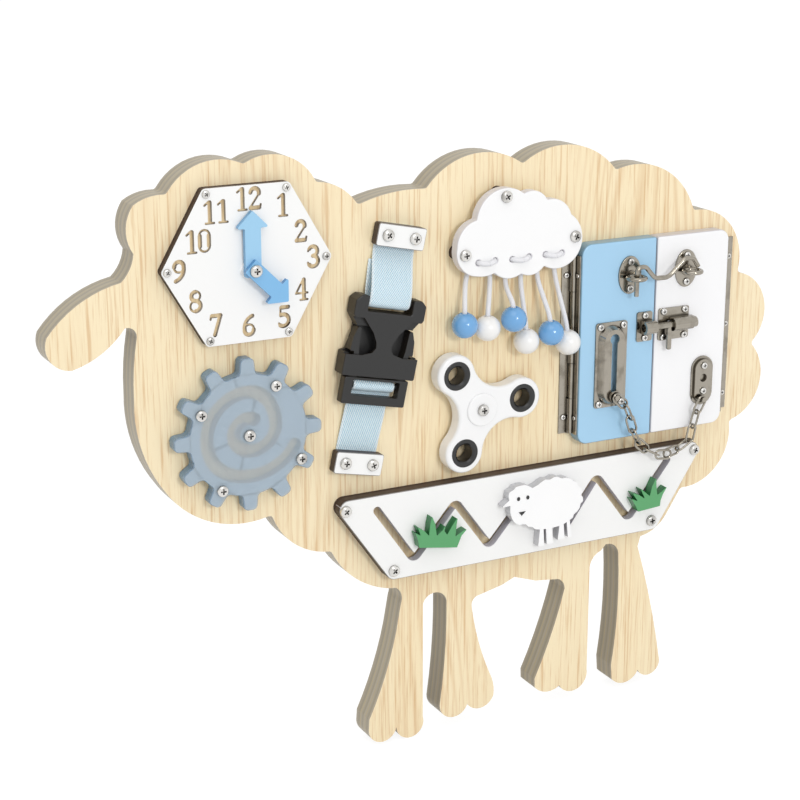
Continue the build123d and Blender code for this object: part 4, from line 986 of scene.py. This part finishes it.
@dataclass
class Strand:
    """One hanging end of a stitched cord, with its knot and bead."""

    number: int
    hole: tuple[float, float]
    other_hole: tuple[float, float]
    leaves: tuple[float, float]
    bead: tuple[float, float, float]
    bow: tuple[float, float]
    cord_d: float = 3.0
    bead_d: float = 15.8
    front: float = 14.5
    back: float = 3.85
    droop: float = 0.8

    def route(self) -> list[tuple[float, float, float]]:
        """From the drooping middle of the stitch, through the hole, down behind the plate and into the bead."""
        gap = 0.1 if self.other_hole[0] > self.hole[0] else -0.1
        middle = ((self.hole[0] + self.other_hole[0]) / 2 - gap / 2,
                  (self.hole[1] + self.other_hole[1]) / 2 - self.droop)
        x, z, h = self.bead
        return [place(*middle, self.front), place(*self.hole, self.front), place(*self.hole, self.back),
                place(*self.leaves, self.back), place(*self.bow, (self.back + h) / 2),
                place(x, z + self.bead_d / 2, h), place(x, z - 3.4, h)]

    def bead_profile(self) -> np.ndarray:
        """Closed outline of the turned bead: sphere, eased mouth, bore, step and knot pocket, from the top down."""
        outer, bore, pocket = self.bead_d / 2, self.cord_d / 2 + 0.55, 2.7
        top = math.asin((bore + 0.5) / outer)
        foot = math.asin((pocket + 0.4) / outer)
        sweep = np.linspace(math.pi / 2 - top, -(math.pi / 2 - foot), 56)
        skin = np.stack([outer * np.cos(sweep), outer * np.sin(sweep)], axis=1)[::-1]
        rim_low, rim_top = skin[0, 1], skin[-1, 1]
        mouth_top = np.array([(bore + 0.15, rim_top - 0.06), (bore, rim_top - 0.5), (bore, 2.0), (bore, -1.6)])
        mouth_low = np.array([(pocket, -1.6), (pocket, -4.0), (pocket, rim_low + 0.5),
                              (pocket + 0.12, rim_low + 0.06)])
        return np.concatenate([skin, mouth_top, mouth_low]) * MM

    def knot_line(self) -> np.ndarray:
        """Overhand knot as a trefoil: ((2 + cos 3t) cos 2t, (2 + cos 3t) sin 2t, sin 3t), scaled to the pocket."""
        t = np.linspace(0, FULL_TURN, 97)[:-1]
        reach = 2 + np.cos(3 * t)
        loop = np.stack([reach * np.cos(2 * t), reach * np.sin(2 * t), 1.3 * np.sin(3 * t)], axis=1)
        x, z, h = self.bead
        return np.array(place(x, z - 4.6, h)) + loop * 0.5 * MM

    def build(self, cord_finish: bpy.types.Material, bead_finish: bpy.types.Material) -> None:
        """Makes the cord, bead and knot, and hangs them from the cloud.

        Args:
            cord_finish: The cord's material.
            bead_finish: The bead's material.
        """
        body, node = f"strand_{self.number}", f"cord_{self.number}"
        line = route_line(node, self.route())
        cord = round_tube(f"hanging_cord_{self.number}", line, self.cord_d / 2 * MM, 16, cord_finish)
        x, z, h = self.bead
        bead = spun(f"turned_bead_{self.number}", self.bead_profile(), place(x, z, h), 64, bead_finish)
        knot = round_tube(f"cord_knot_{self.number}", self.knot_line(), 0.55 * MM, 8, cord_finish)
        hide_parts(node)
        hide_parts(f"bead_{self.number}")
        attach(bead, body)
        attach(knot, body)
        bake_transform(cord)


@dataclass
class Cloud:
    """Three cords stitched through the cloud, each with two hanging ends."""

    stitches: tuple = (((18.7, 115.3), (30.1, 115.6)), ((41.8, 115.1), (53.5, 115.6)), ((64.8, 115.8), (76.4, 115.7)))
    leaves: tuple = ((14.6, 105.0), (31.3, 104.4), (41.4, 98.9), (52.0, 101.2), (63.2, 101.8), (75.2, 105.2))
    beads: tuple = ((11.3, 77.7, 9.3), (26.9, 74.2, 9.3), (42.9, 78.7, 13.0), (54.1, 62.8, 9.3), (69.9, 66.8, 12.0),
                    (83.8, 58.5, 9.3))
    bows: tuple = ((12.6, 95.0), (29.3, 93.0), (42.2, 92.6), (52.9, 86.0), (66.4, 88.5), (79.0, 86.5))

    def build(self) -> None:
        """Makes the six strands."""
        cord = BraidedCord("white_braided_cord").build()
        blue = MouldedPlastic("sky_blue_lacquered_beech", colour="6CA7DB", worn="5E98CE", coat=0.6).build()
        white = MouldedPlastic("white_lacquered_beech", colour="F2F1EF", worn="E6E5E3", roughness=0.3).build()
        for i in range(6):
            pair = self.stitches[i // 2]
            strand = Strand(i + 1, pair[i % 2], pair[1 - i % 2], self.leaves[i], self.beads[i], self.bows[i])
            strand.build(cord, blue if i % 2 == 0 else white)


# ---- studio --------------------------------------------------------------------------
@dataclass
class Studio:
    """Camera, lamps, white surroundings and a pale floor."""

    at: tuple[float, float, float] = (-0.51050, -0.96593, 0.35395)
    forward: tuple[float, float, float] = (0.43503, 0.85319, -0.28778)
    up: tuple[float, float, float] = (0.13179, 0.25584, 0.95770)
    lens: float = 83.9
    sky_on_board: float = 0.72  # the white sky's strength for the rays that light things
    floor_glow: tuple[float, float] = (1.2, 0.74)  # strength, and its share of what is seen of the floor
    floor_reach: float = 14.0
    lamps: tuple = field(default_factory=lambda: (
        # name, where, size in metres, watts
        ("key_softbox", (0.15, -2.4, 0.85), 0.55, 16.0),
        ("top_softbox", (-0.5, -0.9, 1.9), 1.6, 6.0),
    ))

    def build_camera(self) -> None:
        """Stands the camera at its place."""
        data = bpy.data.cameras.new("camera")
        data.lens, data.sensor_width, data.sensor_fit = self.lens, 36.0, "HORIZONTAL"
        data.clip_start, data.clip_end = 0.01, 60.0
        camera = bpy.data.objects.new("camera", data)
        bpy.context.scene.collection.objects.link(camera)
        ahead, up = Vector(self.forward).normalized(), Vector(self.up).normalized()
        right = ahead.cross(up).normalized()
        up = right.cross(ahead)
        camera.matrix_world = Matrix(((right.x, up.x, -ahead.x, self.at[0]), (right.y, up.y, -ahead.y, self.at[1]),
                                      (right.z, up.z, -ahead.z, self.at[2]), (0, 0, 0, 1)))
        bpy.context.scene.camera = camera

    def build_lights(self) -> None:
        """Hangs the lamps, each turned to the board."""
        for name, where, size, watts in self.lamps:
            data = bpy.data.lights.new(name, "AREA")
            data.shape, data.size, data.energy = "DISK", size, watts
            lamp = bpy.data.objects.new(name, data)
            lamp.location = where
            lamp.rotation_euler = (Vector((0.0, -0.02, 0.03)) - Vector(where)).to_track_quat("-Z", "Y").to_euler()
            bpy.context.scene.collection.objects.link(lamp)

    def seen(self, tree: bpy.types.NodeTree) -> bpy.types.NodeSocket:
        """1 for camera, glossy and transmission rays, 0 for the rays that light things."""
        path = add(tree, "LightPath").outputs
        most = maths(tree, "MAXIMUM", path["Is Camera Ray"], path["Is Glossy Ray"])
        return maths(tree, "MAXIMUM", most, path["Is Transmission Ray"])

    def build_world(self) -> None:
        """White to look at and in what metal mirrors, and nearly three quarters as strong on the board."""
        world = bpy.data.worlds.new("white_studio")
        world.use_nodes = True
        tree = world.node_tree
        tree.nodes.clear()
        strength = maths(tree, "MULTIPLY_ADD", self.seen(tree), 1.0 - self.sky_on_board, self.sky_on_board)
        sky = add(tree, "Background", {0: (1, 1, 1, 1), 1: strength})
        add(tree, "OutputWorld", {0: sky.outputs[0]})
        bpy.context.scene.world = world

    def build_floor(self, level: float) -> None:
        """Lays the floor under the feet.

        Args:
            level: Height of the floor in metres.
        """
        mesh = bpy.data.meshes.new("floor")
        reach = self.floor_reach
        corners = [(-reach, -reach, level), (reach, -reach, level), (reach, reach, level), (-reach, reach, level)]
        mesh.from_pydata(corners, [], [(0, 1, 2, 3)])
        material = bpy.data.materials.new("pale_floor")
        material.use_nodes = True
        tree = material.node_tree
        tree.nodes.clear()
        matt = add(tree, "BsdfDiffuse", {0: (0.86, 0.86, 0.86, 1)})
        glow = add(tree, "Emission", {0: (1, 1, 1, 1), 1: self.floor_glow[0]})
        share = maths(tree, "MULTIPLY", self.seen(tree), self.floor_glow[1])
        both = add(tree, "MixShader", {0: share, 1: matt.outputs[0], 2: glow.outputs[0]})
        add(tree, "OutputMaterial", {0: both.outputs[0]})
        mesh.materials.append(material)
        floor = bpy.data.objects.new("floor", mesh)
        bpy.context.scene.collection.objects.link(floor)
        floor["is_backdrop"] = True

    def build(self, level: float) -> None:
        """Makes the whole studio."""
        bpy.context.scene.view_settings.view_transform = "Standard"
        self.build_camera()
        self.build_lights()
        self.build_world()
        self.build_floor(level)


def main() -> None:
    """Builds the looks of the board in order."""
    logging.basicConfig(level=logging.INFO, format="%(name)s: %(message)s")
    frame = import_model()
    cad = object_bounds()
    Studio().build(cad[0].z - 0.0005)
    Panel(frame["nodes"]).dress()
    Cloud().build()
    Strap().build()
    bpy.context.view_layer.update()


if __name__ == "__main__":
    main()
